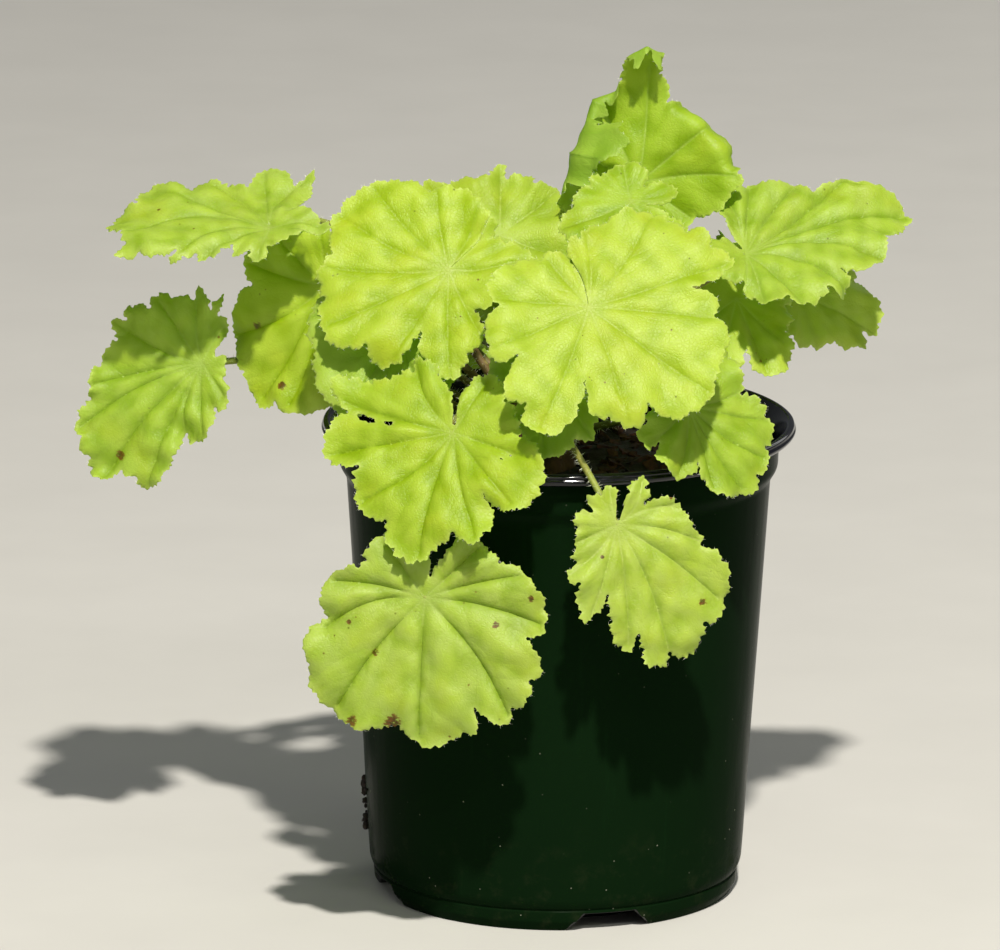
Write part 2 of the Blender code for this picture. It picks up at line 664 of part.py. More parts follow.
def build_stem(leaf, material):
    route = stem_route(leaf)
    centres = [route_point(route, step / STEM_STEPS) for step in range(STEM_STEPS + 1)]
    rings = []
    side = Vector((0.0, 0.0, 1.0)).cross(centres[1] - centres[0]).normalized()
    for index, centre in enumerate(centres):
        before = centres[max(index - 1, 0)]
        after = centres[min(index + 1, STEM_STEPS)]
        along = (after - before).normalized()
        side = (side - along * side.dot(along)).normalized()
        other = along.cross(side)
        part = index / STEM_STEPS
        radius = STEM_FOOT_RADIUS + (STEM_RADIUS - STEM_FOOT_RADIUS) * part
        ring = []
        for step in range(STEM_SIDES):
            turn = 2.0 * math.pi * step / STEM_SIDES
            ring.append(centre + (side * math.cos(turn) + other * math.sin(turn)) * radius)
        rings.append(ring)
    points, faces = loft(rings)
    add_piece("stem_" + leaf["name"], points, faces, material)


def build_leaves():
    for leaf in LEAVES:
        name = leaf["name"]
        green = plain_material("blade_" + name, (0.45, 0.65, 0.05), 0.5)
        stalk = plain_material("stalk_" + name, (0.33, 0.36, 0.1), 0.55)
        build_blade(leaf, green)
        build_stem(leaf, stalk)


clear_scene()
build_pot()
build_soil()
build_crown()
build_leaves()
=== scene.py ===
"""Potted coral bells in a nursery pot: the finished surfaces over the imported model.

Sizes are in millimetres and degrees, and MM turns them into metres. The pot's axis is Z, its foot
stands at Z = 0, and the leaves that hang over its rim face -Y. The sections follow the order in
which the plant was potted: pot, soil, crown, stems, blades, down, and then floor, light and camera.
"""

import math
import random

import bmesh
import bpy
import numpy as np
from mathutils import Matrix, Vector, geometry, kdtree, noise


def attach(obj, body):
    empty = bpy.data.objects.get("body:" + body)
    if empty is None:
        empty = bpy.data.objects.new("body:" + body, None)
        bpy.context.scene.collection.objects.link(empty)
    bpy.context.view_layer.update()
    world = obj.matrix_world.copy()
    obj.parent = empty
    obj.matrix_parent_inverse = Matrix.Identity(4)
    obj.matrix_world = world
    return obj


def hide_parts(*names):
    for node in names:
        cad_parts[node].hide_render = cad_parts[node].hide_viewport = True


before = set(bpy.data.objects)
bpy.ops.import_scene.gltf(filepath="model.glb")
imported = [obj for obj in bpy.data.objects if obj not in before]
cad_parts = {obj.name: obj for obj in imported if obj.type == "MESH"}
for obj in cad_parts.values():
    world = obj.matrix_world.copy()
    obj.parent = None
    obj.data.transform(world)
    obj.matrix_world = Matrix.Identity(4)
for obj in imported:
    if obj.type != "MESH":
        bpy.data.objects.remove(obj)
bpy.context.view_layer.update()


# Nursery pot, thin glossy plastic moulded in two layers: dark green outside, black inside and over
# the rolled lip. It is turned from its section, then the drain notches and holes are cut through.
MM = 0.001
POT_TOP = 167.0
LIP = 82.5
COLLAR = 76.5
WALL_TOP = 73.6
WALL_FOOT = 65.0
HEEL = 63.6
FOOT = 60.9
STAND = 46.0
POT_SIDES = 216
WARP_FROM = 12.0
WARP_RISE = 40.0
WARP_TO = 147.0
NOTCHES = 4
NOTCH_TURN = 17.5
NOTCH_WIDE = 31.0
NOTCH_NARROW = 17.5
NOTCH_HIGH = 6.4
NOTCH_REACH = (STAND + 10.4, WALL_FOOT + 6.0)
DRAIN_HOLE = 3.5
DRAIN_HOLE_AT = 52.5
DRAIN_HOLE_SIDES = 20
DRAIN_HOLE_HIGH = (4.0, 10.0)

# The section: radius, height, how far the corner is rounded, and whether the surface is green
POT_SECTION = (
    (0.0, 0.0, 0.0, 0), (STAND, 0.0, 0.9, 0), (STAND, 6.0, 0.9, 0), (FOOT - 3.4, 6.0, 0.8, 0),
    (FOOT - 2.2, 0.0, 0.5, 0), (FOOT + 0.6, 0.0, 0.6, 1), (HEEL - 0.3, 3.4, 0.5, 1),
    (HEEL, 7.0, 0.35, 1), (HEEL - 0.6, 7.6, 0.3, 1), (HEEL + 0.2, 8.2, 0.4, 1),
    (WALL_FOOT - 0.1, 10.6, 1.6, 1), (WALL_FOOT + 0.6, 20.0, 0.0, 1), (67.3, 50.0, 0.0, 1),
    (70.1, 94.0, 0.0, 1), (WALL_TOP, 147.3, 1.6, 1), (COLLAR - 0.3, 151.6, 1.4, 1),
    (COLLAR, 162.0, 0.9, 1), (LIP - 1.3, 162.5, 0.7, 0), (LIP, 164.1, 1.0, 0),
    (LIP - 0.75, 165.1, 0.35, 0), (LIP - 0.75, 166.2, 0.7, 0), (LIP - 2.6, POT_TOP, 1.3, 0),
    (LIP - 4.3, 165.2, 1.4, 0), (COLLAR - 1.5, 160.5, 1.2, 0), (COLLAR - 1.8, 152.4, 1.4, 0),
    (WALL_TOP - 1.5, 148.0, 1.6, 0), (WALL_FOOT - 1.5, 12.0, 2.0, 0),
    (WALL_FOOT - 3.4, 8.0, 1.6, 0), (STAND - 2.0, 8.0, 0.9, 0), (STAND - 2.0, 2.0, 1.0, 0),
    (0.0, 2.0, 0.0, 0),
)


class Wire:
    """One output among a material's nodes. It takes plain arithmetic."""

    def __init__(self, finish, socket):
        self.finish = finish
        self.socket = socket

    def maths(self, operation, first, second):
        return self.finish.node("ShaderNodeMath", {"operation": operation}, {0: first, 1: second})

    def __add__(self, other):
        return self.maths("ADD", self, other)

    def __radd__(self, other):
        return self.maths("ADD", other, self)

    def __sub__(self, other):
        return self.maths("SUBTRACT", self, other)

    def __rsub__(self, other):
        return self.maths("SUBTRACT", other, self)

    def __mul__(self, other):
        return self.maths("MULTIPLY", self, other)

    def __rmul__(self, other):
        return self.maths("MULTIPLY", other, self)

    def over(self, low, high):
        """0 below low, 1 above high, smooth between; high may be the lower number."""
        return self.finish.node(
            "ShaderNodeMapRange",
            {"interpolation_type": "SMOOTHSTEP"},
            {"Value": self, "From Min": low, "From Max": high},
        )


class Finish:
    """One material while it is made: node() adds any node, the others add common ones."""

    def __init__(self, name):
        self.material = bpy.data.materials.new(name)
        self.material.use_nodes = True
        self.tree = self.material.node_tree
        self.tree.nodes.clear()

    def node(self, kind, settings=None, values=None, output=0):
        node = self.tree.nodes.new(kind)
        for name, value in (settings or {}).items():
            setattr(node, name, value)
        for key, value in (values or {}).items():
            socket = node.inputs[key]
            if isinstance(value, Wire):
                self.tree.links.new(value.socket, socket)
            elif socket.type == "RGBA":
                socket.default_value = (*value, 1.0)
            else:
                socket.default_value = value
        return Wire(self, node.outputs[output])

    def attribute(self, name):
        return self.node("ShaderNodeAttribute", {"attribute_name": name}, output="Fac")

    def place(self, stretch=(1.0, 1.0, 1.0)):
        """The point of the piece in metres, stretched along its axes."""
        where = self.node("ShaderNodeTexCoord", output="Object")
        return self.node("ShaderNodeMapping", {}, {"Vector": where, "Scale": stretch})

    def flat(self):
        return self.node("ShaderNodeUVMap", {"uv_map": "flat"})

    def grain(self, where, size, detail=3.0, rough=0.55):
        """Soft noise of the given size in millimetres, 0 to 1."""
        values = {"Vector": where, "Scale": 1.0 / (size * MM), "Detail": detail, "Roughness": rough}
        return self.node("ShaderNodeTexNoise", {}, values)

    def cells(self, where, size, feature="F1"):
        values = {"Vector": where, "Scale": 1.0 / (size * MM)}
        return self.node("ShaderNodeTexVoronoi", {"feature": feature}, values)

    def mix(self, share, first, second):
        """The first colour, with a share of the second, 0 to 1."""
        return self.node("ShaderNodeMix", {"data_type": "RGBA"}, {0: share, 6: first, 7: second}, 2)

    def bump(self, height, depth):
        """A bump whose full height is depth millimetres."""
        return self.node("ShaderNodeBump", {}, {"Height": height, "Distance": depth * MM})

    def surface(self, **values):
        """The Principled surface; sockets are written with underscores for spaces."""
        named = {key.replace("_", " "): value for key, value in values.items()}
        return self.node("ShaderNodeBsdfPrincipled", {}, named)

    def done(self, surface):
        output = self.tree.nodes.new("ShaderNodeOutputMaterial")
        self.tree.links.new(surface.socket, output.inputs["Surface"])
        return self.material


def shade(red, green, blue):
    """A screen colour, 0 to 255, as the linear colour that a shader takes."""
    parts = (red / 255.0, green / 255.0, blue / 255.0)
    return tuple(p / 12.92 if p <= 0.04045 else ((p + 0.055) / 1.055) ** 2.4 for p in parts)


def new_object(name, data):
    """An object in the scene for a mesh, a lamp or a camera."""
    made = bpy.data.objects.new(name, data)
    bpy.context.scene.collection.objects.link(made)
    return made


def add_piece(name, points, faces, material, sharp=40.0, attributes=None):
    """A mesh piece from points in millimetres, with float attributes on its points."""
    mesh = bpy.data.meshes.new(name)
    mesh.from_pydata(np.asarray(points, float) * MM, [], faces)
    for key, values in (attributes or {}).items():
        mesh.attributes.new(key, "FLOAT", "POINT").data.foreach_set("value", values)
    mesh.shade_smooth()
    mesh.set_sharp_from_angle(angle=math.radians(sharp))
    mesh.materials.append(material)
    return new_object(name, mesh)


def outward(piece):
    """Turn every face of a closed piece to the outside."""
    shape = bmesh.new()
    shape.from_mesh(piece.data)
    bmesh.ops.recalc_face_normals(shape, faces=shape.faces)
    shape.to_mesh(piece.data)
    shape.free()


def turns_of(count):
    """The angles of so many even steps round a circle."""
    return [2.0 * math.pi * step / count for step in range(count)]


def skin(rings, first=None, last=None):
    """Faces between equal rings, each end closed with a fan to a point or with one face."""
    count = len(rings[0])
    points = [tuple(point) for ring in rings for point in ring]
    faces = []
    for row in range(len(rings) - 1):
        low = row * count
        high = low + count
        for side in range(count):
            turn = (side + 1) % count
            faces.append((low + side, low + turn, high + turn, high + side))
    for centre, start in ((first, 0), (last, (len(rings) - 1) * count)):
        if centre is None:
            faces.append(tuple(range(start, start + count)))
            continue
        points.append(tuple(centre))
        hub = len(points) - 1
        faces.extend((hub, start + side, start + (side + 1) % count) for side in range(count))
    return points, faces


def skins(bodies):
    """The skins of several bodies, each a list of rings, as one list of points and one of faces."""
    points = []
    faces = []
    for rings in bodies:
        more_points, more_faces = skin(rings)
        faces.extend(tuple(corner + len(points) for corner in face) for face in more_faces)
        points.extend(more_points)
    return points, faces


def plain_copy(piece, body):
    """Turn a piece with modifiers into a plain mesh piece that rides on a body."""
    bpy.context.view_layer.update()
    shown = piece.evaluated_get(bpy.context.evaluated_depsgraph_get())
    mesh = bpy.data.meshes.new_from_object(shown)
    name = piece.name
    bpy.data.objects.remove(piece)
    mesh.name = name
    copy = new_object(name, mesh)
    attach(copy, body)
    return copy


def rounded_section(section, arc_steps=4):
    """The section with each corner turned into a short arc."""
    rounded = []
    for index, (radius, height, fillet, green) in enumerate(section):
        if not fillet:
            rounded.append((radius, height, green))
            continue
        corner = Vector((radius, height))
        before = Vector(section[index - 1][:2]) - corner
        after = Vector(section[index + 1][:2]) - corner
        start = corner + before.normalized() * min(fillet, before.length * 0.45)
        end = corner + after.normalized() * min(fillet, after.length * 0.45)
        for step in range(arc_steps + 1):
            part = step / arc_steps
            spot = start.lerp(corner, part).lerp(corner.lerp(end, part), part)
            rounded.append((spot.x, spot.y, green))
    return rounded


def turned_pot(material):
    section = rounded_section(POT_SECTION)
    rings = []
    green = []
    for radius, height, outside in section[1:-1]:
        ring = []
        for turn in turns_of(POT_SIDES):
            # The wall isn't perfectly round: it was thin and warm when it left the mould
            warp = 0.12 * math.sin(3.0 * turn + height / 38.0)
            warp += 0.07 * math.sin(7.0 * turn - height / 25.0)
            warp *= min(1.0, max(0.0, (height - WARP_FROM) / WARP_RISE)) * (height < WARP_TO)
            reach = radius + warp
            ring.append((reach * math.sin(turn), -reach * math.cos(turn), height))
            green.append(outside)
        rings.append(ring)
    points, faces = skin(rings, (0.0, 0.0, section[0][1]), (0.0, 0.0, section[-1][1]))
    pot = add_piece("nursery_pot", points, faces, material, 35.0, {"green": green + [0.0, 0.0]})
    outward(pot)
    return pot


def notch_and_drain_cutter(material):
    """All the wedges that open the heel, and the round drain holes behind them, as one cutter."""
    bodies = []
    slope = (NOTCH_WIDE - NOTCH_NARROW) / (2.0 * NOTCH_HIGH)
    for index in range(NOTCHES):
        turn = math.radians(NOTCH_TURN + index * 360.0 / NOTCHES)
        out = Vector((math.sin(turn), -math.cos(turn), 0.0))
        across = Vector((math.cos(turn), math.sin(turn), 0.0))
        wedge = []
        for reach in NOTCH_REACH:
            ring = []
            for height, side in ((-1.0, -1), (-1.0, 1), (NOTCH_HIGH, 1), (NOTCH_HIGH, -1)):
                half = NOTCH_WIDE / 2.0 - slope * height
                ring.append(out * reach + across * half * side + Vector((0.0, 0.0, height)))
            wedge.append(ring)
        hole = []
        for height in DRAIN_HOLE_HIGH:
            ring = []
            for around in turns_of(DRAIN_HOLE_SIDES):
                spot = out * (DRAIN_HOLE_AT + DRAIN_HOLE * math.cos(around))
                spot += across * DRAIN_HOLE * math.sin(around)
                ring.append(spot + Vector((0.0, 0.0, height)))
            hole.append(ring)
        bodies.extend((wedge, hole))
    cutter = add_piece("notches_and_drains", *skins(bodies), material)
    outward(cutter)
    cutter.hide_render = True
    cutter.display_type = "WIRE"
    return cutter


def pot_plastic():
    finish = Finish("pot_plastic")
    where = finish.place()
    green_side = finish.attribute("green").over(0.45, 0.55)
    height = finish.node("ShaderNodeSeparateXYZ", {}, {"Vector": where}, "Z")
    cloud = finish.grain(where, 45.0)
    streak = finish.grain(finish.place((1.0, 1.0, 0.06)), 5.0, 4.0)
    film = finish.grain(where, 9.0, 5.0, 0.7)
    green = finish.mix(cloud, shade(9, 25, 10), shade(12, 30, 12))
    green = finish.mix(streak.over(0.62, 0.8) * 0.25, green, shade(18, 44, 20))
    black = finish.mix(cloud, shade(8, 8, 12), shade(17, 17, 25))
    colour = finish.mix(green_side, black, green)
    # Splashed soil dries in a thin dull film round the foot, and dust lies in specks all over
    splash = film.over(0.5, 0.75) * height.over(0.045, 0.004)
    colour = finish.mix(splash * 0.3, colour, shade(48, 52, 34))
    speck = finish.cells(where, 5.5).over(0.062, 0.034) * finish.grain(where, 16.0).over(0.4, 0.6)
    speck = speck * (0.2 + 0.8 * height.over(0.075, 0.035))
    colour = finish.mix(speck * 0.6, colour, shade(168, 170, 150))
    dull = 0.16 + 0.08 * cloud + 0.4 * splash + 0.4 * speck + 0.06 * streak
    lacquer = (1.0 - green_side) * 0.75
    waves = finish.grain(finish.place((1.0, 1.0, 0.25)), 14.0, 2.0)
    normal = finish.bump(waves * 0.8 + film * 0.12 + speck * 0.3, 0.35)
    surface = finish.surface(
        Base_Color=colour, Roughness=dull, Normal=normal, IOR=1.05, Specular_IOR_Level=0.4,
        Coat_Weight=lacquer, Coat_Roughness=0.1,
    )
    return finish.done(surface)


plastic = pot_plastic()
pot = turned_pot(plastic)
cutter = notch_and_drain_cutter(plastic)
cut = pot.modifiers.new("drainage", "BOOLEAN")
cut.operation = "DIFFERENCE"
cut.object = cutter
pot = plain_copy(pot, "root")
bpy.data.objects.remove(cutter)
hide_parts("pot")


# Potting soil, dark composted bark that fills the pot to 16 mm under the lip. It is one lumpy body
# with a seat for the crown; loose bark chips lie half sunk in its top, strewn by Geometry Nodes.
SOIL_TOP = 151.0
SOIL_HIGHEST = 154.2
SOIL_EDGE = 71.1
SOIL_SAG = 3.0
SOIL_SIDES = 144
SOIL_RINGS = 34
CROWN_AT = (-8.0, 4.0)
CROWN_SEAT = 18.0
SEAT_FLOOR = 145.2
SEAT_TAPER = 0.93
CHIPS_PER_AREA = 34000.0
CHIP = (6.5, 3.0, 1.2)
CHIP_FLOOR = 147.0
CHIP_OFF_CROWN = 1.5
CHIP_OFF_WALL = 3.5

# The soil's underside and wall, up to its top: radius and height
SOIL_BELOW = ((42.0, 2.4), (42.5, 8.8), (57.8, 8.8), (62.3, 12.6), (66.6, 80.0))

# Crumbs on the wall: height, turn from -Y towards +X, and radius
CRUMBS = (
    (37.0, -91, 0.9), (34.5, -93, 1.3), (33.0, -88, 1.1), (31.0, -95, 0.8), (29.0, -90, 0.9),
    (26.5, -92, 0.6), (24.0, -89, 0.9), (21.5, -93, 1.3), (20.0, -90, 1.2), (18.5, -95, 0.7),
    (27.0, -84, 0.4), (35.5, -82, 0.5),
)


def soil_height(x, y):
    """Long swells that the crown was firmed into, with crumbs of every size on them."""
    swell = math.sin(x * 0.21 + 1.0) * math.cos(y * 0.17) + 0.6 * math.sin(x * 0.09 - y * 0.26)
    crumbs = noise.fractal(Vector((x, y, 3.0)) / 4.2, 0.9, 2.1, 4)
    lumps = noise.noise(Vector((x, y, 9.0)) / 11.0)
    return SOIL_TOP + 1.1 * swell + 0.75 * crumbs + 0.9 * lumps


def soil_body(material):
    centre = Vector(CROWN_AT)
    turns = turns_of(SOIL_SIDES)
    rings = [
        [(radius * math.sin(turn), -radius * math.cos(turn), height) for turn in turns]
        for radius, height in SOIL_BELOW
    ]
    for row in range(SOIL_RINGS + 2):
        part = min(row, SOIL_RINGS) / SOIL_RINGS
        ring = []
        for turn in turns:
            rim = Vector((SOIL_EDGE * math.sin(turn), -SOIL_EDGE * math.cos(turn)))
            seat = centre + CROWN_SEAT * Vector((math.sin(turn), -math.cos(turn)))
            spot = rim.lerp(seat, part)
            height = min(soil_height(spot.x, spot.y), SOIL_HIGHEST)
            height -= SOIL_SAG * math.exp(-part / 0.03)
            if row > SOIL_RINGS:
                spot = centre + (spot - centre) * SEAT_TAPER
                height = SEAT_FLOOR
            ring.append((spot.x, spot.y, height))
        rings.append(ring)
    points, faces = skin(rings, (0.0, 0.0, SOIL_BELOW[0][1]), (*CROWN_AT, SEAT_FLOOR))
    soil = add_piece("potting_mix", points, faces, material, 80.0)
    outward(soil)
    return soil


def soil_finish():
    finish = Finish("potting_soil")
    where = finish.place()
    clod = finish.grain(where, 5.0, 6.0, 0.7)
    fibre = finish.grain(finish.place((1.0, 0.3, 1.0)), 1.6, 3.0)
    damp = finish.grain(where, 30.0)
    colour = finish.mix(clod, shade(10, 7, 6), shade(42, 29, 22))
    colour = finish.mix(fibre.over(0.58, 0.75) * 0.7, colour, shade(78, 50, 36))
    colour = finish.mix(damp.over(0.45, 0.65) * 0.5, colour, shade(18, 13, 11))
    normal = finish.bump(clod * 0.7 + fibre * 0.4, 1.1)
    surface = finish.surface(Base_Color=colour, Roughness=0.95 - 0.25 * damp, Normal=normal)
    return finish.done(surface)


def chip_finish():
    finish = Finish("bark_chip")
    where = finish.place()
    tone = finish.grain(where, 9.0, 2.0)
    line = finish.grain(finish.place((1.0, 0.25, 1.0)), 1.2, 3.0)
    colour = finish.mix(tone.over(0.35, 0.65), shade(26, 16, 12), shade(84, 46, 32))
    colour = finish.mix(line.over(0.5, 0.72) * 0.6, colour, shade(28, 18, 14))
    surface = finish.surface(Base_Color=colour, Roughness=0.85, Normal=finish.bump(line, 0.5))
    return finish.done(surface)


class Tree:
    """A Geometry Nodes tree with named inputs; add() puts in any node and returns it."""

    def __init__(self, name, **inputs):
        self.tree = bpy.data.node_groups.new(name, "GeometryNodeTree")
        face = self.tree.interface
        face.new_socket("Geometry", in_out="INPUT", socket_type="NodeSocketGeometry")
        for key, kind in inputs.items():
            face.new_socket(key, in_out="INPUT", socket_type="NodeSocket" + kind)
        face.new_socket("Geometry", in_out="OUTPUT", socket_type="NodeSocketGeometry")
        self.inputs = self.tree.nodes.new("NodeGroupInput").outputs

    def add(self, kind, settings=None, *first, **values):
        """Values in order go to the first sockets, named ones to the sockets of that name."""
        node = self.tree.nodes.new(kind)
        for name, value in (settings or {}).items():
            setattr(node, name, value)
        named = {key.replace("_", " "): value for key, value in values.items()}
        for key, value in [*enumerate(first), *named.items()]:
            socket = node.inputs[key]
            if isinstance(value, bpy.types.NodeSocket):
                self.tree.links.new(value, socket)
            else:
                socket.default_value = value
        return node

    def spread(self, low, high, seed):
        """A vector drawn at random for each point."""
        node = self.tree.nodes.new("FunctionNodeRandomValue")
        node.data_type = "FLOAT_VECTOR"
        numbers = [s for s in node.inputs if s.enabled and s.name in ("Min", "Max")]
        for socket, value in zip(numbers, (low, high)):
            socket.default_value = value
        self.tree.links.new(seed, node.inputs["Seed"])
        return [s for s in node.outputs if s.enabled][0]

    def end(self, geometry_socket):
        """Realized instances with the tree's material are what the tree gives back."""
        real = self.add("GeometryNodeRealizeInstances", Geometry=geometry_socket)
        self.close(real.outputs[0])

    def close(self, geometry_socket):
        material = self.inputs["Material"]
        kept = self.add("GeometryNodeSetMaterial", Geometry=geometry_socket, Material=material)
        out = self.tree.nodes.new("NodeGroupOutput")
        self.tree.links.new(kept.outputs[0], out.inputs[0])


def grown(name, host, tree, **values):
    """What a tree makes on a host piece, as a plain mesh; the host itself is used up."""
    host.name = name
    made = host.modifiers.new(name, "NODES")
    made.node_group = tree.tree
    for item in tree.tree.interface.items_tree:
        if item.in_out == "INPUT" and item.name in values:
            made[item.identifier] = values[item.name]
    return plain_copy(host, "root")


def chip_tree():
    tree = Tree("strewn_chips", Density="Float", Length="Float", Width="Float", Thickness="Float",
                Seed="Int", Material="Material")
    inputs = tree.inputs
    spots = tree.add("GeometryNodeDistributePointsOnFaces", Mesh=inputs["Geometry"],
                     Density=inputs["Density"], Seed=inputs["Seed"])
    size = tree.add("ShaderNodeCombineXYZ", X=inputs["Length"], Y=inputs["Width"],
                    Z=inputs["Thickness"])
    chip = tree.add("GeometryNodeMeshCube", Size=size.outputs[0],
                    Vertices_X=4, Vertices_Y=3, Vertices_Z=2)
    turn = tree.spread((-0.5, -0.5, 0.0), (0.5, 0.5, 6.28), inputs["Seed"])
    scale = tree.spread((0.35, 0.4, 0.5), (1.5, 1.3, 1.3), inputs["Seed"])
    placed = tree.add("GeometryNodeInstanceOnPoints", Points=spots.outputs["Points"],
                      Instance=chip.outputs["Mesh"], Rotation=turn, Scale=scale)
    real = tree.add("GeometryNodeRealizeInstances", Geometry=placed.outputs[0])
    rough = tree.add("ShaderNodeTexNoise", Scale=420.0, Detail=2.0)
    centred = tree.add("ShaderNodeVectorMath", {"operation": "SUBTRACT"},
                       rough.outputs["Color"], (0.5, 0.5, 0.5))
    shift = tree.add("ShaderNodeVectorMath", {"operation": "SCALE"},
                     centred.outputs[0], Scale=0.0022)
    broken = tree.add("GeometryNodeSetPosition", Geometry=real.outputs[0], Offset=shift.outputs[0])
    tree.close(broken.outputs[0])
    return tree


def part_of(piece, name, keep):
    """A piece made of only those faces whose centre passes a test."""
    mesh = piece.data.copy()
    shape = bmesh.new()
    shape.from_mesh(mesh)
    lost = [face for face in shape.faces if not keep(face)]
    bmesh.ops.delete(shape, geom=lost, context="FACES")
    shape.to_mesh(mesh)
    shape.free()
    return new_object(name, mesh)


def open_soil(face):
    centre = face.calc_center_median() / MM
    off_crown = (centre.xy - Vector(CROWN_AT)).length - CROWN_SEAT
    off_wall = SOIL_EDGE - centre.xy.length
    return centre.z > CHIP_FLOOR and off_crown > CHIP_OFF_CROWN and off_wall > CHIP_OFF_WALL


def stuck_crumbs(material):
    """Wet soil that ran over the rim and dried on the left of the wall, as small broken lumps."""
    chance = random.Random(4)
    shape = bmesh.new()
    for height, turn, size in CRUMBS:
        made = bmesh.ops.create_icosphere(shape, subdivisions=2, radius=1.0)["verts"]
        reach = WALL_FOOT + (WALL_TOP - WALL_FOOT) * height / POT_TOP + 0.25 * size
        turn = math.radians(turn)
        centre = Vector((reach * math.sin(turn), -reach * math.cos(turn), height))
        phase = chance.uniform(0.0, 50.0)
        for corner in made:
            spot = corner.co * 1.3 + Vector((phase, 0.0, 0.0))
            rough = 1.0 + 0.5 * noise.fractal(spot, 0.8, 2.0, 3)
            tall = Vector((corner.co.x, corner.co.y, corner.co.z * 1.25))
            corner.co = (centre + tall * size * rough) * MM
    mesh = bpy.data.meshes.new("stuck_crumbs")
    shape.to_mesh(mesh)
    shape.free()
    mesh.shade_smooth()
    mesh.materials.append(material)
    return new_object("stuck_crumbs", mesh)


soil_material = soil_finish()
crumbs = stuck_crumbs(soil_material)
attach(crumbs, "root")
soil = soil_body(soil_material)
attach(soil, "root")
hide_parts("potting_soil")
chips = grown(
    "bark_chips", part_of(soil, "chip_ground", open_soil), chip_tree(),
    Density=CHIPS_PER_AREA, Length=CHIP[0] * MM, Width=CHIP[1] * MM, Thickness=CHIP[2] * MM,
    Seed=7, Material=chip_finish(),
)


# The crown is the plant's woody stock: a knobbly brown cone that tapers to the youngest stems,
# scaly with the dry bases of leaves that have fallen. It is one closed body with the scales on it.
CROWN_FOOT = 145.5
CROWN_TOP = 177.0
CROWN_WIDE = 15.0
CROWN_NECK = 7.0
CROWN_ROWS = 30
CROWN_SIDES = 72
SCALES = 26
SCALE_STEPS = 5
SCALE_LOWEST = 151.5
SCALE_SPREAD = 22.0
SCALE_LENGTHS = (4.0, 9.0)
SCALE_LEANS = (0.25, 0.8)
SCALE_WIDTHS = (1.5, 2.6)


def crown_reach(turn, height):
    rise = (height - CROWN_FOOT) / (CROWN_TOP - CROWN_FOOT)
    smooth = CROWN_WIDE + (CROWN_NECK - CROWN_WIDE) * rise ** 1.4
    knobs = 1.0 + 0.07 * math.sin(3.0 * turn + 5.0 * rise)
    knobs += 0.04 * math.sin(7.0 * turn - 4.0 * rise)
    return smooth * knobs


def crown_spot(turn, height, clearance=0.0):
    reach = crown_reach(turn, height) + clearance
    x, y = CROWN_AT
    return Vector((x + reach * math.sin(turn), y - reach * math.cos(turn), height))


def crown_body(material):
    rings = []
    for row in range(CROWN_ROWS):
        height = CROWN_FOOT + (CROWN_TOP - CROWN_FOOT) * row / (CROWN_ROWS - 1.0)
        ring = []
        for turn in turns_of(CROWN_SIDES):
            spot = crown_spot(turn, height)
            rough = noise.fractal(Vector((spot.x, spot.y, spot.z * 0.5)) / 3.0, 0.8, 2.0, 4)
            ring.append(crown_spot(turn, height, 0.55 * rough - 0.15))
        rings.append(ring)
    points, faces = skin(rings, (*CROWN_AT, CROWN_FOOT), (*CROWN_AT, CROWN_TOP + 2.2))
    crown = add_piece("crown_stock", points, faces, material, 70.0)
    outward(crown)
    return crown


def old_leaf_bases(material):
    """Short dry sheaths, each a hollow-faced tapering scale that clasps the stock."""
    chance = random.Random(11)
    bodies = []
    for index in range(SCALES):
        turn = index * 2.4 + chance.uniform(-0.3, 0.3)
        height = SCALE_LOWEST + SCALE_SPREAD * index / SCALES
        foot = crown_spot(turn, height, -0.6)
        out = (crown_spot(turn, height, 1.0) - foot).normalized()
        across = Vector((math.cos(turn), math.sin(turn), 0.0))
        length = chance.uniform(*SCALE_LENGTHS)
        lean = chance.uniform(*SCALE_LEANS)
        wide = chance.uniform(*SCALE_WIDTHS)
        rings = []
        for row in range(SCALE_STEPS + 1):
            part = row / SCALE_STEPS
            centre = foot + Vector((0.0, 0.0, length * part))
            centre += out * (lean * length * part ** 1.5 + 0.5)
            centre += across * math.sin(part * 2.0 + index) * 0.5
            width = wide * (1.0 - 0.75 * part ** 1.4)
            ring = []
            for around in turns_of(8):
                cup = -0.5 * abs(math.sin(around)) * width
                ring.append(centre + across * width * math.sin(around)
                            + out * (0.55 * (1.0 - 0.5 * part) * math.cos(around) + cup * 0.5))
            rings.append(ring)
        bodies.append(rings)
    bases = add_piece("old_leaf_bases", *skins(bodies), material, 50.0)
    outward(bases)
    return bases


def bark_finish(name, dark, light):
    finish = Finish(name)
    where = finish.place()
    ridge = finish.grain(finish.place((1.0, 1.0, 0.35)), 2.4, 5.0, 0.65)
    patch = finish.grain(where, 8.0)
    colour = finish.mix(ridge, dark, light)
    colour = finish.mix(patch.over(0.5, 0.7) * 0.6, colour, shade(30, 20, 14))
    surface = finish.surface(
        Base_Color=colour, Roughness=0.72 + 0.2 * ridge, Normal=finish.bump(ridge, 0.9),
    )
    return finish.done(surface)


crown = crown_body(bark_finish("crown_bark", shade(44, 27, 18), shade(112, 76, 50)))
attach(crown, "root")
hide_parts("crown")
scales = old_leaf_bases(bark_finish("dry_sheath", shade(86, 54, 34), shade(158, 116, 78)))
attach(scales, "root")


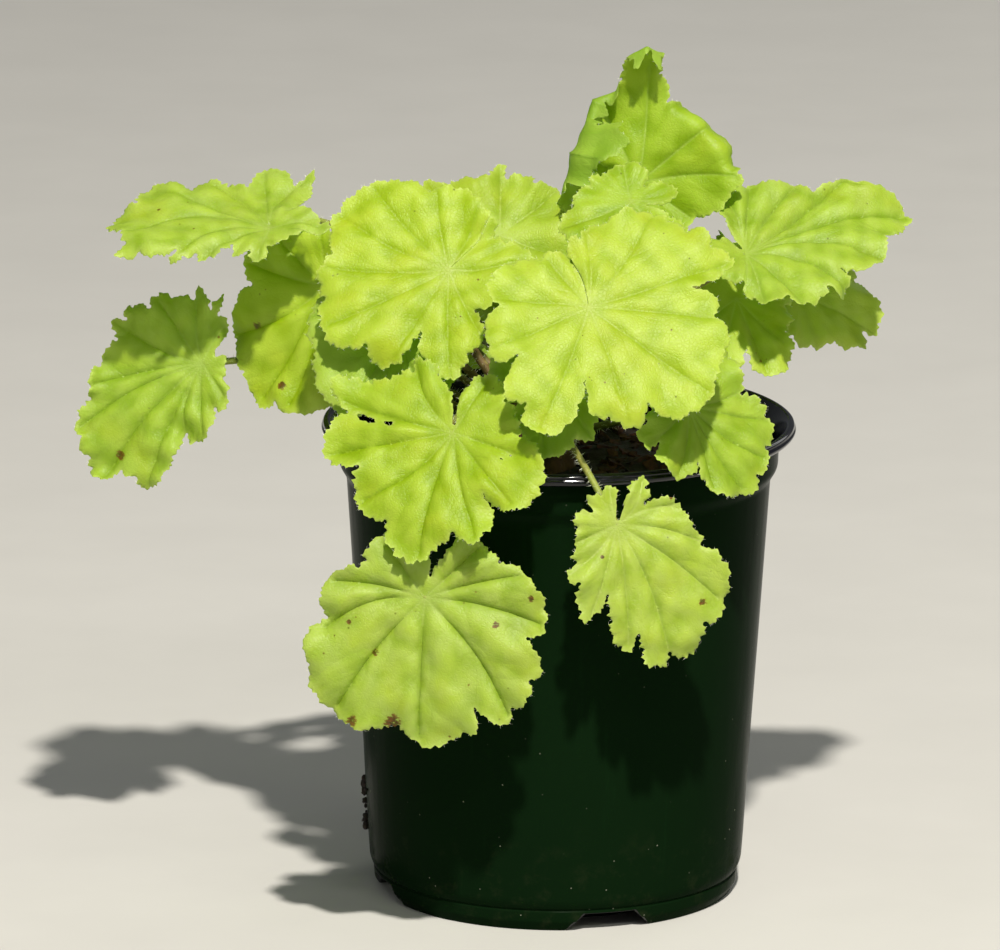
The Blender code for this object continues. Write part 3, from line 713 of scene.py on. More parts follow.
# The leaves, one entry each: how the blade is held, its outline, curls and veins, and the way that
# its stem takes. An angle on a blade is a clock angle from its tip, and a reach is a distance from
# the point where the stem meets it.
#
# at, face, tip: where the stem meets the blade; how its upper side looks, as a turn from -Y towards
# +X and a rise; and where its tip points, 0 upwards. foot, via: the turn round the crown and the
# height of the stem's foot, and the two points that steer the stem. edge: angle and reach of each
# lobe and notch. size: the reach of a leaf with plain lobes. veins: angle, reach and sideways bow.
# bends: direction, start, length and angle of each curl. hems: stretches of margin that roll, from
# one angle to another, the reach at both where the roll starts, its length and its angle. slit: the
# basal lobes overlap. teeth, frill: how strong they are. puff, pleat: how far the blade swells
# between small and main veins. lime_and_painted_light: how yellow it is, raised on leaves in shade
# to paint them brighter. painted_sheen: how much whitish sheen is painted over it, for the light
# off
# its down and glossy skin. pale: how far out the veins stay pale. marks and holes: angle, reach and
# radius.
# Each blade's yellowness is partly its own colour and partly painted light: it is raised on leaves
# that lie in the shade of others, right_back and right_back_low most, to make them brighter.
LEAVES = (
    {
        "name": "front_centre", "at": (10, -76, 224), "face": (4, 38), "tip": 165,
        "lime_and_painted_light": 0.97, "painted_sheen": 0.08, "puff": 0.55, "slit": True,
        "bends": ((0, 12, 40, -18), (180, 8, 30, -10)),
        "teeth": 0.6, "pale": 10, "pleat": 0.38,
        "veins": (
            (-165, 32, 1.0), (-132, 43, 1.5), (-94, 52, 0.5), (-68, 46, -0.9), (-37, 50, 0.7),
            (-1, 45, -0.4), (37, 48, -0.7), (80, 36, -0.2), (110, 33, 0.6), (158, 22, -0.2),
        ),
        "marks": (
            (93, 18, 0.22), (29, 11, 0.25), (17, 26, 0.25), (-9, 27, 0.22), (6, 28, 0.22),
            (-57, 29, 0.32), (-102, 39, 0.29), (-121, 38, 0.29), (-33, 31, 0.22),
        ),
        "foot": (10, 172), "via": ((-3, -30, 206), (9, -60, 211)),
        "edge": (
            (-178, 27), (-170, 26), (-153, 34), (-140, 41), (-125, 44), (-115, 45), (-109, 50),
            (-103, 48), (-95, 53), (-85, 36), (-79, 44), (-70, 43), (-63, 48), (-44, 49), (-34, 52),
            (-20, 49), (-13, 40), (-4, 46), (7, 40), (15, 39), (20, 27), (26, 43), (35, 49),
            (43, 49), (48, 42), (58, 44), (69, 31), (75, 38), (97, 36), (106, 31), (117, 35),
            (129, 34), (145, 30), (154, 24), (163, 25), (178, 18),
        ),
    },
    {
        "name": "left_centre", "at": (-38, -42, 229), "face": (-4, 36), "tip": 205,
        "lime_and_painted_light": 0.95, "painted_sheen": 0.0, "puff": 0.6, "slit": True,
        "bends": ((0, 12, 35, -15), (90, 10, 35, -12)),
        "teeth": 0.85, "pale": 11, "pleat": 0.38,
        "veins": (
            (-124, 22, 1.6), (-52, 25, 0.7), (-28, 39, 0.4), (3, 41, -0.2), (38, 45, -1.2),
            (66, 44, -1.7), (93, 46, -2.3), (113, 43, -1.3), (144, 29, -0.7), (176, 26, 0.9),
        ),
        "marks": ((-36, 18, 0.29), (-41, 18, 0.25), (-95, 11, 0.29)),
        "foot": (-50, 173), "via": ((-22, -8, 202), (-36, -26, 215)),
        "edge": (
            (-170, 24), (-155, 20), (-145, 22), (-132, 27), (-118, 31), (-100, 30), (-81, 21),
            (-59, 18), (-55, 27), (-40, 32), (-28, 40), (-14, 34), (-4, 24), (0, 37), (8, 42),
            (19, 39), (31, 48), (44, 47), (52, 44), (61, 45), (73, 41), (88, 45), (100, 45),
            (112, 43), (126, 37), (140, 30), (148, 31), (162, 30), (178, 26),
        ),
    },
    {
        "name": "top_right", "at": (27, 8, 249), "face": (0, 10), "tip": 3,
        "lime_and_painted_light": 0.6, "painted_sheen": 0.0, "puff": 0.6,
        "bends": ((-90, 1, 8, -20), (90, 1, 10, 18), (-80, 16.5, 11, 172), (-25, 22, 16, 48)),
        "hems": (
            (-42, -15, 28.5, 33, 6, 120), (-12, -3, 47, 53.5, 5, 140), (-3, 7, 53.5, 49, 5, 140),
            (22, 78, 25.5, 29.5, 4, -90),
        ),
        "teeth": 0.6, "pale": 40, "frill": 0.5,
        "veins": (
            (-70, 40, 0.5), (-30, 42, 0.3), (0, 47, 1.3), (48, 31, -0.1), (82, 35, -1.3),
            (120, 22, 0.0),
        ),
        "foot": (60, 174), "via": ((6, 14, 205), (24, 15, 228)),
        "edge": (
            (-150, 22), (-125, 26), (-104, 25), (-98, 26), (-93, 26), (-89, 30), (-84, 33),
            (-79, 30), (-73, 33), (-67, 39), (-61, 42), (-55, 40), (-50, 42), (-46, 38), (-44, 33),
            (-40, 35), (-33, 40), (-27, 38), (-20, 42), (-16, 40), (-13, 38), (-11, 46), (-9.5, 52),
            (-6, 60), (-2, 59), (1, 63), (3.5, 56), (5, 46), (6.5, 40), (12, 36), (15, 34),
            (16.5, 30), (20, 31), (33, 33), (49, 34), (60, 35), (72, 36), (80, 36), (86, 37),
            (92, 34), (117, 24), (150, 20), (180, 10),
        ),
    },
    {
        "name": "far_left_top", "at": (-100, -16, 237), "face": (-8, 74), "tip": 266,
        "lime_and_painted_light": 0.66, "painted_sheen": 0.2, "puff": 0.6,
        "bends": ((90, 3, 20, 14), (-90, 6, 12, -45), (0, 25, 30, -18)),
        "teeth": 0.9, "pale": 12,
        "veins": (
            (-81, 18, -0.2), (-36, 28, 0.9), (-24, 38, 4.7), (0, 54, 8.5), (31, 49, 0.9),
            (50, 33, 2.5), (82, 31, -0.3), (108, 29, -3.7), (172, 17, -2.5),
        ),
        "marks": ((-5, 26, 0.36), (27, 33, 0.29), (17, 41, 0.58)),
        "foot": (-95, 171), "via": ((-48, 18, 222), (-88, 30, 241)),
        "edge": (
            (-175, 12), (-150, 9), (-120, 9), (-94, 12), (-81, 18), (-67, 15), (-53, 18), (-42, 16),
            (-36, 29), (-30, 28), (-27, 37), (-23, 34), (-20, 43), (-16, 46), (-13, 54), (-8, 50),
            (0, 51), (8, 57), (15, 57), (20, 50), (27, 52), (34, 50), (40, 38), (50, 36), (57, 30),
            (68, 26), (85, 33), (94, 32), (104, 27), (113, 33), (118, 26), (121, 12), (129, 16),
            (150, 17), (167, 18), (179, 21),
        ),
    },
    {
        "name": "far_left_low", "at": (-124, 2, 185), "face": (-16, 20), "tip": 212,
        "lime_and_painted_light": 0.55, "painted_sheen": 0.12, "puff": 0.8,
        "bends": ((0, 15, 40, -15),),
        "hems": (
            (0, 10, 48, 48, 6, 55), (21, 32, 45, 44, 6, 55), (38, 51, 34, 34, 6, 60),
            (74, 90, 28, 28, 6, 50),
        ),
        "teeth": 1.0, "pale": 14, "pleat": 1.2,
        "veins": (
            (-73, 14, -0.2), (-40, 25, 0.8), (-23, 34, 2.1), (-12, 47, 1.2), (5, 54, 2.3),
            (27, 51, 2.7), (43, 41, 1.1), (78, 35, -1.9), (108, 28, -0.3), (138, 25, -1.1),
            (176, 15, -0.4),
        ),
        "marks": ((6, 43, 1.6), (178, 11, 0.5), (13, 24, 0.36), (6, 55, 0.43), (-22, 39, 0.43)),
        "foot": (-80, 160), "via": ((-60, 16, 190), (-106, 20, 183)),
        "edge": (
            (-178, 16), (-165, 7), (-155, 6), (-145, 9), (-119, 9), (-95, 10), (-84, 14), (-65, 18),
            (-56, 17), (-50, 22), (-42, 26), (-30, 28), (-24, 25), (-19, 40), (-12, 48), (-6, 46),
            (1, 47), (5, 55), (10, 55), (15, 52), (25, 52), (37, 42), (50, 41), (53, 37), (69, 32),
            (79, 35), (83, 32), (88, 34), (100, 27), (112, 29), (118, 26), (135, 23), (140, 27),
            (154, 19), (160, 25), (164, 18), (172, 18),
        ),
    },
    {
        "name": "front_left", "at": (-36, -82, 181.5), "face": (-18, 33), "tip": 200,
        "lime_and_painted_light": 0.76, "painted_sheen": 0.0, "puff": 0.8,
        "bends": ((0, 12, 35, -20),),
        "teeth": 1.0, "pale": 10,
        "veins": (
            (-177, 21, 0.5), (-96, 32, -0.1), (-67, 35, 0.3), (-42, 39, 1.1), (-13, 44, 0.8),
            (26, 38, -3.1), (55, 44, -0.5), (81, 41, -1.2), (123, 30, -2.6),
        ),
        "holes": (
            (75, 33.3, 1.8), (73, 29.6, 1.5), (72, 22.6, 1.6), (-87, 20.8, 0.4), (-94, 22.5, 0.35),
        ),
        "marks": ((74, 31, 0.86),),
        "foot": (-25, 160), "via": ((-18, -36, 184), (-32, -66, 172)),
        "edge": (
            (-167, 24), (-146, 21), (-112, 24), (-103, 32), (-92, 37), (-72, 40), (-61, 35),
            (-56, 26), (-53, 36), (-41, 41), (-30, 36), (-22, 40), (-11, 47), (3, 43), (10, 38),
            (20, 41), (30, 40), (38, 36), (43, 34), (46, 38), (55, 46), (69, 43), (76, 39),
            (87, 48), (96, 36), (104, 31), (119, 28), (127, 30), (140, 19), (150, 12), (160, 3),
            (165, 14), (176, 22),
        ),
    },
    {
        "name": "low_left", "at": (-45, -94, 126.5), "face": (-10, 10), "tip": 183,
        "lime_and_painted_light": 0.68, "painted_sheen": 0.25, "puff": 1.1,
        "bends": ((0, 15, 40, -12),),
        "teeth": 0.75, "pale": 9, "pleat": 1.7,
        "veins": (
            (-138, 25, -0.1), (-109, 35, -0.9), (-83, 41, -2.0), (-41, 49, -3.0), (-2, 48, 0.1),
            (34, 48, 2.0), (68, 36, 3.9), (95, 31, 1.3), (139, 22, -0.1),
        ),
        "marks": (
            (37, 25.4, 1.1), (-76, 26.4, 1.1), (67, 27.2, 0.8), (10, 44, 2.5), (26, 49, 1.7),
            (-96, 37, 1.0), (29, 5.4, 0.29), (62, 33.4, 0.32), (56, 39.3, 0.32), (-103, 18, 0.25),
            (-33, 33, 0.25), (-15, 48, 0.43), (69, 24.4, 0.25),
        ),
        "foot": (-45, 162), "via": ((-36, -50, 196), (-46, -81, 178)),
        "edge": (
            (-171, 8), (-163, 12), (-155, 23), (-137, 27), (-121, 29), (-109, 36), (-93, 41),
            (-80, 43), (-75, 38), (-64, 47), (-58, 46), (-53, 49), (-44, 48), (-38, 51), (-30, 41),
            (-27, 49), (-21, 48), (-7, 51), (7, 45), (13, 46), (28, 51), (47, 50), (55, 46),
            (66, 44), (73, 35), (83, 36), (96, 34), (110, 25), (117, 24), (129, 26), (150, 26),
            (165, 24), (178, 16),
        ),
    },
    {
        "name": "low_right", "at": (20, -95, 152.8), "face": (8, 14), "tip": 150,
        "lime_and_painted_light": 0.88, "painted_sheen": 0.25, "puff": 0.9,
        "bends": ((0, 12, 35, -18),),
        "teeth": 1.25, "pale": 90, "pleat": 1.2,
        "veins": (
            (-160, 12, -0.5), (-118, 17, 2.2), (-78, 20, -1.6), (-48, 28, -1.7), (-23, 43, -1.4),
            (8, 47, -2.1), (25, 41, -0.6), (47, 32, -0.4), (75, 23, -1.3), (98, 15, 0.1),
        ),
        "marks": ((-85, 20.7, 0.43), (-17, 39, 1.1), (-45, 17.6, 0.32), (57, 12, 0.72)),
        "foot": (20, 162), "via": ((-8, -46, 190), (4, -85, 181)),
        "edge": (
            (-176, 12), (-161, 14), (-151, 13), (-147, 7), (-140, 2), (-134, 6), (-129, 14),
            (-121, 19), (-110, 16), (-96, 12), (-88, 20), (-71, 23), (-58, 26), (-46, 30),
            (-42, 37), (-27, 45), (-15, 47), (-11, 45), (-3, 50), (2, 52), (8, 48), (13, 51),
            (18, 48), (20, 38), (26, 43), (32, 40), (35, 32), (39, 24), (43, 30), (50, 34),
            (58, 30), (65, 24), (75, 25), (80, 19), (95, 16), (104, 15), (118, 14), (133, 15),
            (150, 10), (165, 14),
        ),
    },
    {
        "name": "right_low", "at": (44, -66, 188), "face": (28, 32), "tip": 150,
        "lime_and_painted_light": 0.62, "painted_sheen": 0.1, "puff": 0.9,
        "bends": ((0, 12, 30, -20),),
        "teeth": 0.85, "pale": 18, "pleat": 1.2,
        "veins": (
            (-66, 21, 1.4), (-43, 30, 1.1), (-17, 32, 2.4), (7, 34, 1.6), (25, 30, 0.2),
            (52, 26, -0.9), (86, 23, -1.1),
        ),
        "foot": (38, 158), "via": ((8, -25, 174), (36, -52, 178)),
        "edge": (
            (-160, 20), (-130, 24), (-110, 26), (-85, 24), (-64, 21), (-59, 26), (-46, 29),
            (-36, 33), (-24, 31), (-13, 35), (-6, 34), (-1, 37), (13, 35), (26, 32), (32, 27),
            (37, 21), (45, 26), (54, 28), (73, 25), (80, 19), (85, 25), (96, 24), (106, 19),
            (119, 15), (135, 18), (150, 16), (180, 5),
        ),
    },
    {
        "name": "right_top", "at": (64, -14, 229), "face": (8, 58), "tip": 82,
        "lime_and_painted_light": 0.62, "painted_sheen": 0.15, "puff": 0.8,
        "bends": ((-90, 2, 20, 12), (0, 30, 25, -10)),
        "hems": ((30, 60, 33, 29, 4, -75), (-40, -26, 44, 49, 6, 75)),
        "teeth": 0.75, "pale": 22, "pleat": 1.6,
        "veins": (
            (-92, 30, 1.4), (-73, 29, -0.4), (-47, 36, -1.6), (-32, 50, 0.8), (-10, 61, -3.6),
            (10, 47, -6.0), (35, 37, -4.5), (65, 30, -1.5), (90, 25, -0.6), (106, 20, -0.5),
        ),
        "foot": (80, 170), "via": ((20, -8, 206), (50, -17, 218)),
        "edge": (
            (-155, 16), (-134, 11), (-118, 9), (-112, 3), (-107, 12), (-101, 27), (-90, 32),
            (-76, 30), (-64, 32), (-53, 35), (-38, 38), (-35, 45), (-31, 52), (-24, 56), (-15, 62),
            (-8, 62), (-3, 56), (1, 50), (9, 49), (17, 46), (23, 40), (25, 33), (28, 37), (38, 38),
            (44, 32), (58, 32), (66, 31), (70, 25), (80, 25), (90, 26), (96, 20), (103, 21),
            (109, 14), (125, 15), (140, 16), (160, 15), (180, 16),
        ),
    },
    {
        "name": "left_middle", "at": (-81, 2, 213), "face": (-25, 18), "tip": 218,
        "lime_and_painted_light": 0.9, "painted_sheen": 0.0, "puff": 0.8,
        "bends": ((0, 15, 40, -12),),
        "teeth": 0.75, "pale": 10,
        "veins": (
            (-28, 43, -2.0), (-13, 45, -1.5), (19, 37, -2.9), (61, 32, -1.0), (88, 26, -0.6),
            (130, 20, 0.0),
        ),
        "marks": ((17, 28.6, 1.1), (-21, 37.5, 1.4), (42, 22, 0.29)),
        "foot": (-110, 166), "via": ((-40, 10, 200), (-72, 11, 204)),
        "edge": (
            (-150, 26), (-120, 30), (-95, 36), (-70, 36), (-46, 43), (-25, 46), (-21, 44),
            (-17, 48), (-11, 48), (1, 42), (13, 40), (22, 38), (34, 34), (47, 28), (61, 32),
            (70, 32), (87, 27), (112, 26), (128, 20), (146, 17), (165, 14), (180, 10),
        ),
    },
    {
        "name": "right_back_low", "at": (83, 16, 208), "face": (30, 32), "tip": 120,
        "lime_and_painted_light": 1.0, "painted_sheen": 0.2, "puff": 0.8,
        "foot": (105, 160), "via": ((35, 16, 190), (72, 25, 199)),
        "edge": (
            (-150, 18), (-120, 20), (-90, 24), (-60, 26), (-36, 24), (-20, 28), (-11, 31), (5, 31),
            (8, 27), (18, 29), (26, 26), (38, 21), (50, 20), (76, 19), (97, 16), (122, 13),
            (150, 14), (180, 8),
        ),
    },
    {
        "name": "right_back", "at": (61, 0, 210), "face": (20, 40), "tip": 160,
        "lime_and_painted_light": 1.1, "painted_sheen": 0.1, "puff": 0.8,
        "veins": ((-60, 18, 0.0), (-15, 23, 0.1), (11, 30, -0.2), (43, 29, 0.3), (80, 26, 0.0)),
        "marks": ((13, 25, 0.5), (15, 22, 0.32), (8, 25, 0.25)),
        "foot": (75, 163), "via": ((25, 7, 188), (54, 11, 200)),
        "edge": (
            (-150, 20), (-110, 24), (-80, 24), (-55, 18), (-40, 20), (-26, 21), (-10, 28), (3, 32),
            (12, 31), (20, 28), (25, 20), (31, 27), (43, 31), (53, 27), (70, 30), (90, 28),
            (120, 26), (150, 20), (180, 8),
        ),
    },
    {
        "name": "back_centre", "at": (-21, 8, 230), "face": (0, 42), "tip": 350,
        "lime_and_painted_light": 0.85, "painted_sheen": 0.1, "puff": 0.8,
        "foot": (180, 173), "via": ((-15, 17, 200), (-20, 18, 218)),
        "edge": (
            (-150, 22), (-115, 26), (-85, 30), (-60, 28), (-42, 32), (-31, 27), (-13, 23), (0, 23),
            (10, 27), (16, 23), (30, 25), (42, 23), (58, 27), (95, 25), (120, 26), (150, 20),
            (180, 8),
        ),
    },
    {
        "name": "top_centre", "at": (24, -26, 250), "face": (-3, 48), "tip": 340,
        "lime_and_painted_light": 0.62, "pleat": 0.7, "painted_sheen": 0.0, "puff": 0.6,
        "foot": (35, 174), "via": ((2, -4, 212), (24, -14, 236)),
        "edge": (
            (-170, 26), (-150, 30), (-130, 26), (-98, 27), (-78, 20), (-47, 16), (-20, 14), (8, 15),
            (27, 15), (45, 12), (56, 8), (75, 14), (105, 16), (118, 10), (125, 6), (143, 24),
            (165, 28),
        ),
    },
    {
        "name": "under_left", "at": (-55, -42, 208), "face": (-15, 30), "tip": 205,
        "lime_and_painted_light": 0.5, "puff": 0.8,
        "foot": (-70, 165), "via": ((-28, -14, 186), (-50, -30, 197)),
        "edge": (
            (-155, 18), (-130, 24), (-105, 24), (-76, 29), (-54, 30), (-30, 30), (-11, 32), (0, 35),
            (15, 35), (27, 33), (45, 30), (70, 32), (95, 28), (120, 28), (150, 22), (180, 8),
        ),
    },
    {
        "name": "under_front", "at": (-4, -66, 196.5), "face": (0, 30), "tip": 185,
        "lime_and_painted_light": 0.5, "puff": 0.8,
        "foot": (-5, 166), "via": ((-6, -24, 182), (-4, -52, 186)),
        "edge": (
            (-150, 14), (-120, 20), (-90, 22), (-66, 20), (-50, 23), (-41, 26), (-29, 24),
            (-18, 27), (-3, 28), (11, 23), (25, 20), (45, 14), (61, 18), (79, 20), (120, 20),
            (150, 16), (180, 6),
        ),
    },
    {
        "name": "back_left", "at": (-62, 48, 210), "face": (-145, 50), "tip": 180,
        "lime_and_painted_light": 0.8, "puff": 0.8,
        "bends": ((0, 10, 30, -20),), "size": 38,
        "foot": (-140, 169), "via": ((-25, 25, 190), (-56, 40, 198)),
    },
    {
        "name": "back_right", "at": (58, 50, 210), "face": (150, 48), "tip": 175,
        "lime_and_painted_light": 0.75, "puff": 0.8,
        "bends": ((0, 10, 30, -20),), "size": 37,
        "foot": (140, 169), "via": ((18, 25, 190), (52, 41, 198)),
    },
    {
        "name": "back_middle", "at": (-6, 62, 203), "face": (180, 40), "tip": 185,
        "lime_and_painted_light": 0.9, "puff": 0.7,
        "bends": ((0, 10, 30, -20),), "size": 45,
        "foot": (170, 161), "via": ((-6, 30, 186), (-1, 56, 193)),
    },
    {
        "name": "back_low_left", "at": (-38, 93, 150), "face": (-160, 15), "tip": 185,
        "lime_and_painted_light": 0.7, "puff": 1.0,
        "bends": ((0, 10, 35, -15),), "size": 44,
        "foot": (-160, 160), "via": ((-20, 45, 194), (-37, 79, 184)),
    },
    {
        "name": "back_low_right", "at": (40, 94, 138), "face": (158, 12), "tip": 178,
        "lime_and_painted_light": 0.65, "puff": 1.0,
        "bends": ((0, 10, 35, -15),), "size": 42,
        "foot": (150, 160), "via": ((15, 45, 196), (39, 79, 184)),
    },
    {
        "name": "left_back", "at": (-82, 38, 182), "face": (-110, 45), "tip": 190,
        "lime_and_painted_light": 0.5, "puff": 0.8,
        "bends": ((0, 10, 25, -15),), "size": 26,
        "foot": (-125, 159), "via": ((-35, 20, 178), (-72, 31, 176)),
    },
)
PLAIN_LOBES = ((0, 1.0), (42, 0.97), (84, 0.9), (124, 0.8), (158, 0.66))


# The stems are soft round stalks, thickest and browner at the foot, that leave the crown all round
# and arch out to their blades. Each is a tube swept along one smooth curve, from crown to blade.
STEM = 1.15
STEM_FOOT = 1.55
STEM_FLARE = 0.35
FLARE_FROM = 0.97
STEM_SIDES = 14
STEM_STEPS = 44
TOUCH_GAP = 0.3


def leaf_axes(leaf):
    """Unit vectors of a blade: towards its tip, to the viewer's right of it, and off its face."""
    turn, rise = (math.radians(angle) for angle in leaf["face"])
    level = math.cos(rise)
    off = Vector((math.sin(turn) * level, -math.cos(turn) * level, math.sin(rise)))
    up = (Vector((0.0, 0.0, 1.0)) - off * off.z).normalized()
    clock = math.radians(leaf["tip"])
    tip = up * math.cos(clock) + up.cross(off) * math.sin(clock)
    return tip, tip.cross(off), off


def stem_route(leaf):
    turn, height = leaf["foot"]
    turn = math.radians(turn)
    first, second = (Vector(point) for point in leaf["via"])
    foot = crown_spot(turn, height, TOUCH_GAP + STEM_FOOT)
    root = foot + (crown_spot(turn, height, -1.0) - foot) * 0.5
    off = leaf_axes(leaf)[2]
    arrival = (Vector(leaf["at"]) - second).normalized()
    slant = math.sqrt(max(0.0, 1.0 - arrival.dot(off) ** 2))
    head = Vector(leaf["at"]) - off * (0.1 + STEM * slant)
    return root, foot, first, second, head


def route_point(route, part):
    rest = 1.0 - part
    weights = (rest ** 3, 3.0 * rest ** 2 * part, 3.0 * rest * part ** 2, part ** 3)
    return sum((point * weight for point, weight in zip(route, weights)), Vector())


def stem_piece(leaf, material, chance):
    root, *route = stem_route(leaf)
    centres = [root] + [route_point(route, step / STEM_STEPS) for step in range(STEM_STEPS + 1)]
    side = Vector((0.0, 0.0, 1.0)).cross(centres[2] - centres[1]).normalized()
    phase = chance.uniform(0.0, 6.0)
    rings = []
    along_values = []
    for index, centre in enumerate(centres):
        before = centres[max(index - 1, 0)]
        after = centres[min(index + 1, len(centres) - 1)]
        along = (after - before).normalized()
        side = (side - along * side.dot(along)).normalized()
        other = along.cross(side)
        part = max(index - 1, 0) / STEM_STEPS
        radius = STEM_FOOT + (STEM - STEM_FOOT) * min(1.0, part * 2.0)
        radius *= 1.0 + 0.05 * math.sin(phase + part * 17.0)
        radius *= 1.0 + STEM_FLARE * max(0.0, (part - FLARE_FROM) / 0.03)
        ring = []
        for turn in turns_of(STEM_SIDES):
            groove = 1.0 - 0.12 * math.exp(-(turn - math.pi) ** 2 / 0.15)
            spot = (side * math.cos(turn) + other * math.sin(turn)) * radius * groove
            ring.append(centre + spot)
            along_values.append(part)
        rings.append(ring)
    points, faces = skin(rings)
    attributes = {"along": along_values}
    stem = add_piece("stalk_" + leaf["name"], points, faces, material, 60.0, attributes)
    outward(stem)
    return stem


def stalk_finish():
    finish = Finish("leaf_stalk")
    where = finish.place()
    along = finish.attribute("along")
    streak = finish.grain(where, 3.0, 3.0)
    blush = finish.grain(where, 16.0)
    green = finish.mix(along, shade(104, 104, 42), shade(140, 152, 60))
    brown = finish.mix(streak, shade(92, 64, 40), shade(126, 92, 56))
    flush = along.over(0.5, 0.0) * 0.75 + blush.over(0.45, 0.65) * 0.4
    colour = finish.mix(flush, green, brown)
    colour = finish.mix(streak.over(0.55, 0.75) * 0.5, colour, shade(170, 172, 100))
    surface = finish.surface(
        Base_Color=colour, Roughness=0.5 + 0.2 * streak, Normal=finish.bump(streak, 0.25),
        Subsurface_Weight=0.1, Subsurface_Radius=(0.4, 0.3, 0.1), Subsurface_Scale=0.002,
    )
    return finish.done(surface)


stalk_material = stalk_finish()
stems = {}
for number, leaf in enumerate(LEAVES):
    stems[leaf["name"]] = stem_piece(leaf, stalk_material, random.Random(100 + number))
    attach(stems[leaf["name"]], "root")
    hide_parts("stem_" + leaf["name"])


# The blades are thin soft leaves, lobed and finely toothed, with veins sunk in the upper side and
# the skin swelling between them. Each is cut out flat, quilted, and then bent as it hangs.
BLADE = 0.42
SCALLOP = 1.25
SCALLOP_LENGTHS = (4.6, 8.4)
TOOTH = 0.95
TOOTH_LENGTHS = (1.5, 3.3)
TOOTH_HEIGHTS = (0.35, 1.2)
TOOTH_PEAKS = (0.4, 0.64)
EDGE_SPAN = 1.3
TEETH_FROM = 5.0
SLIT_START = 1.2
SLIT_STEP = 0.8
SLIT_BOW = 0.06

# Veins: the step along one, where its side veins start on it, how they turn off and curl, how many
# steps one may take, and how much of the angle to the next main vein it may cross
VEIN_STEP = 0.6
BRANCHES = (0.3, 0.47, 0.62, 0.76, 0.88)
BRANCH_ANGLES = (28.0, 50.0)
BRANCH_CURLS = (-0.012, 0.035)
BRANCH_STEPS = 60
SHARE_OF_GAP = 0.46

# Quilting: how far from the stem it sets in, how wide the creases are, the run of the pleats and of
# the frill, the sizes of the lumps, and how far in the margin is flatter and the blade thinner
QUILT_FROM = 9.0
CREASE = 1.6
GROOVE = 0.55
SIDE_CREASE = 1.7
PLEAT_RUN = 3.6
FRILL_RUN = 7.0
LUMP = 5.0
WAVE = 14.0
FRILL_WAVE = 7.5
FLAT_RIM = 2.5
ROUND_RIM = 0.35

# Half widths of the lines that the finish shows on veins, creases and margin, and the reach from
# which a point counts as fully in a blade's outer part
VEIN_LINE = 0.42
CREASE_LINE = 1.1
SIDE_VEIN_LINE = 0.4
RIM_LINE = 0.55
BLADE_REACH = 45.0

# How far apart the points of a blade's mesh stand, and those of its margin: for a leaf with an
# outline of its own, and for a plain one at the back. Then how far they keep from each other along
# the veins, from a vein's middle to its sides, and from the margin
OWN_MESH = (1.05, 0.36)
PLAIN_MESH = (1.5, 0.6)
VEIN_GAP = 0.4
VEIN_SIDE = 0.5
MARGIN_GAP = 0.3


def plain_edge(size):
    """Margin of a leaf that has only a size: even lobes with round shoulders on both sides."""
    edge = [(180.0, size * 0.16)]
    before = None
    for clock, part in PLAIN_LOBES:
        for side in (-1.0, 1.0) if clock else (1.0,):
            for shift, share in ((-11, 0.94), (0, 1.0), (11, 0.94)):
                edge.append((side * clock + shift, size * part * share))
            if before is not None:
                edge.append((side * (before + clock) / 2.0, size * part * 0.8))
        before = clock
    return edge


def resampled(loop, spacing):
    """The closed loop again, with points at even distances."""
    closed = np.vstack([loop, loop[:1]])
    lengths = np.hypot(*np.diff(closed, axis=0).T)
    travel = np.concatenate([[0.0], np.cumsum(lengths)])
    count = int(travel[-1] / spacing)
    even = np.arange(count) * travel[-1] / count
    return np.column_stack([np.interp(even, travel, closed[:, axis]) for axis in (0, 1)])


def lobed_loop(leaf):
    """Lobes from the edge table: round where the reach is greatest, pointed where it is least."""
    edge = sorted(leaf.get("edge") or plain_edge(leaf["size"]))
    edge.append((edge[0][0] + 360.0, edge[0][1]))
    loop = []
    for (clock, reach), (next_clock, next_reach) in zip(edge, edge[1:]):
        for step in range(12):
            part = step / 12.0
            if next_reach >= reach:
                eased = math.sin(part * math.pi / 2.0)
            else:
                eased = 1.0 - math.sin((1.0 - part) * math.pi / 2.0)
            eased = 0.6 * eased + 0.4 * part
            turn = math.radians(clock + (next_clock - clock) * part)
            length = reach + (next_reach - reach) * eased
            loop.append((length * math.cos(turn), length * math.sin(turn)))
    return np.array(loop)


def toothed_loop(loop, spacing, chance, lengths, size, point):
    """Uneven round teeth along the margin, each with a small point, and smaller in the notches."""
    loop = resampled(loop, spacing)
    count = len(loop)
    reach = max(2, round(EDGE_SPAN / spacing))
    ahead = np.roll(loop, -reach, axis=0) - loop
    behind = loop - np.roll(loop, reach, axis=0)
    along = ahead + behind
    along /= np.hypot(*along.T)[:, None] + 1e-9
    out = np.column_stack([along[:, 1], -along[:, 0]])
    crossed = behind[:, 0] * ahead[:, 1] - behind[:, 1] * ahead[:, 0]
    hollow = np.clip(1.0 + 1.6 * crossed / (reach * spacing) ** 2, 0.0, 1.0)
    centre = np.hypot(*loop.T)
    hollow *= np.clip((centre - TEETH_FROM) / 8.0, 0.0, 1.0)
    height = np.zeros(count)
    start = 0
    while start < count:
        length = max(4, round(chance.uniform(*lengths) / spacing))
        length = min(length, count - start)
        if count - start - length < 4:
            length = count - start
        high = size * chance.uniform(*TOOTH_HEIGHTS) * min(1.0, length * spacing / lengths[0])
        peak = chance.uniform(*TOOTH_PEAKS)
        for step in range(length):
            part = step / length
            side = part / peak if part < peak else (1.0 - part) / (1.0 - peak)
            round_tooth = math.sin(side * math.pi / 2.0) ** 0.8
            height[start + step] = high * ((1.0 - point) * round_tooth + point * side ** 3)
        start += length
    return loop + out * (height * hollow - 0.3 * size)[:, None]


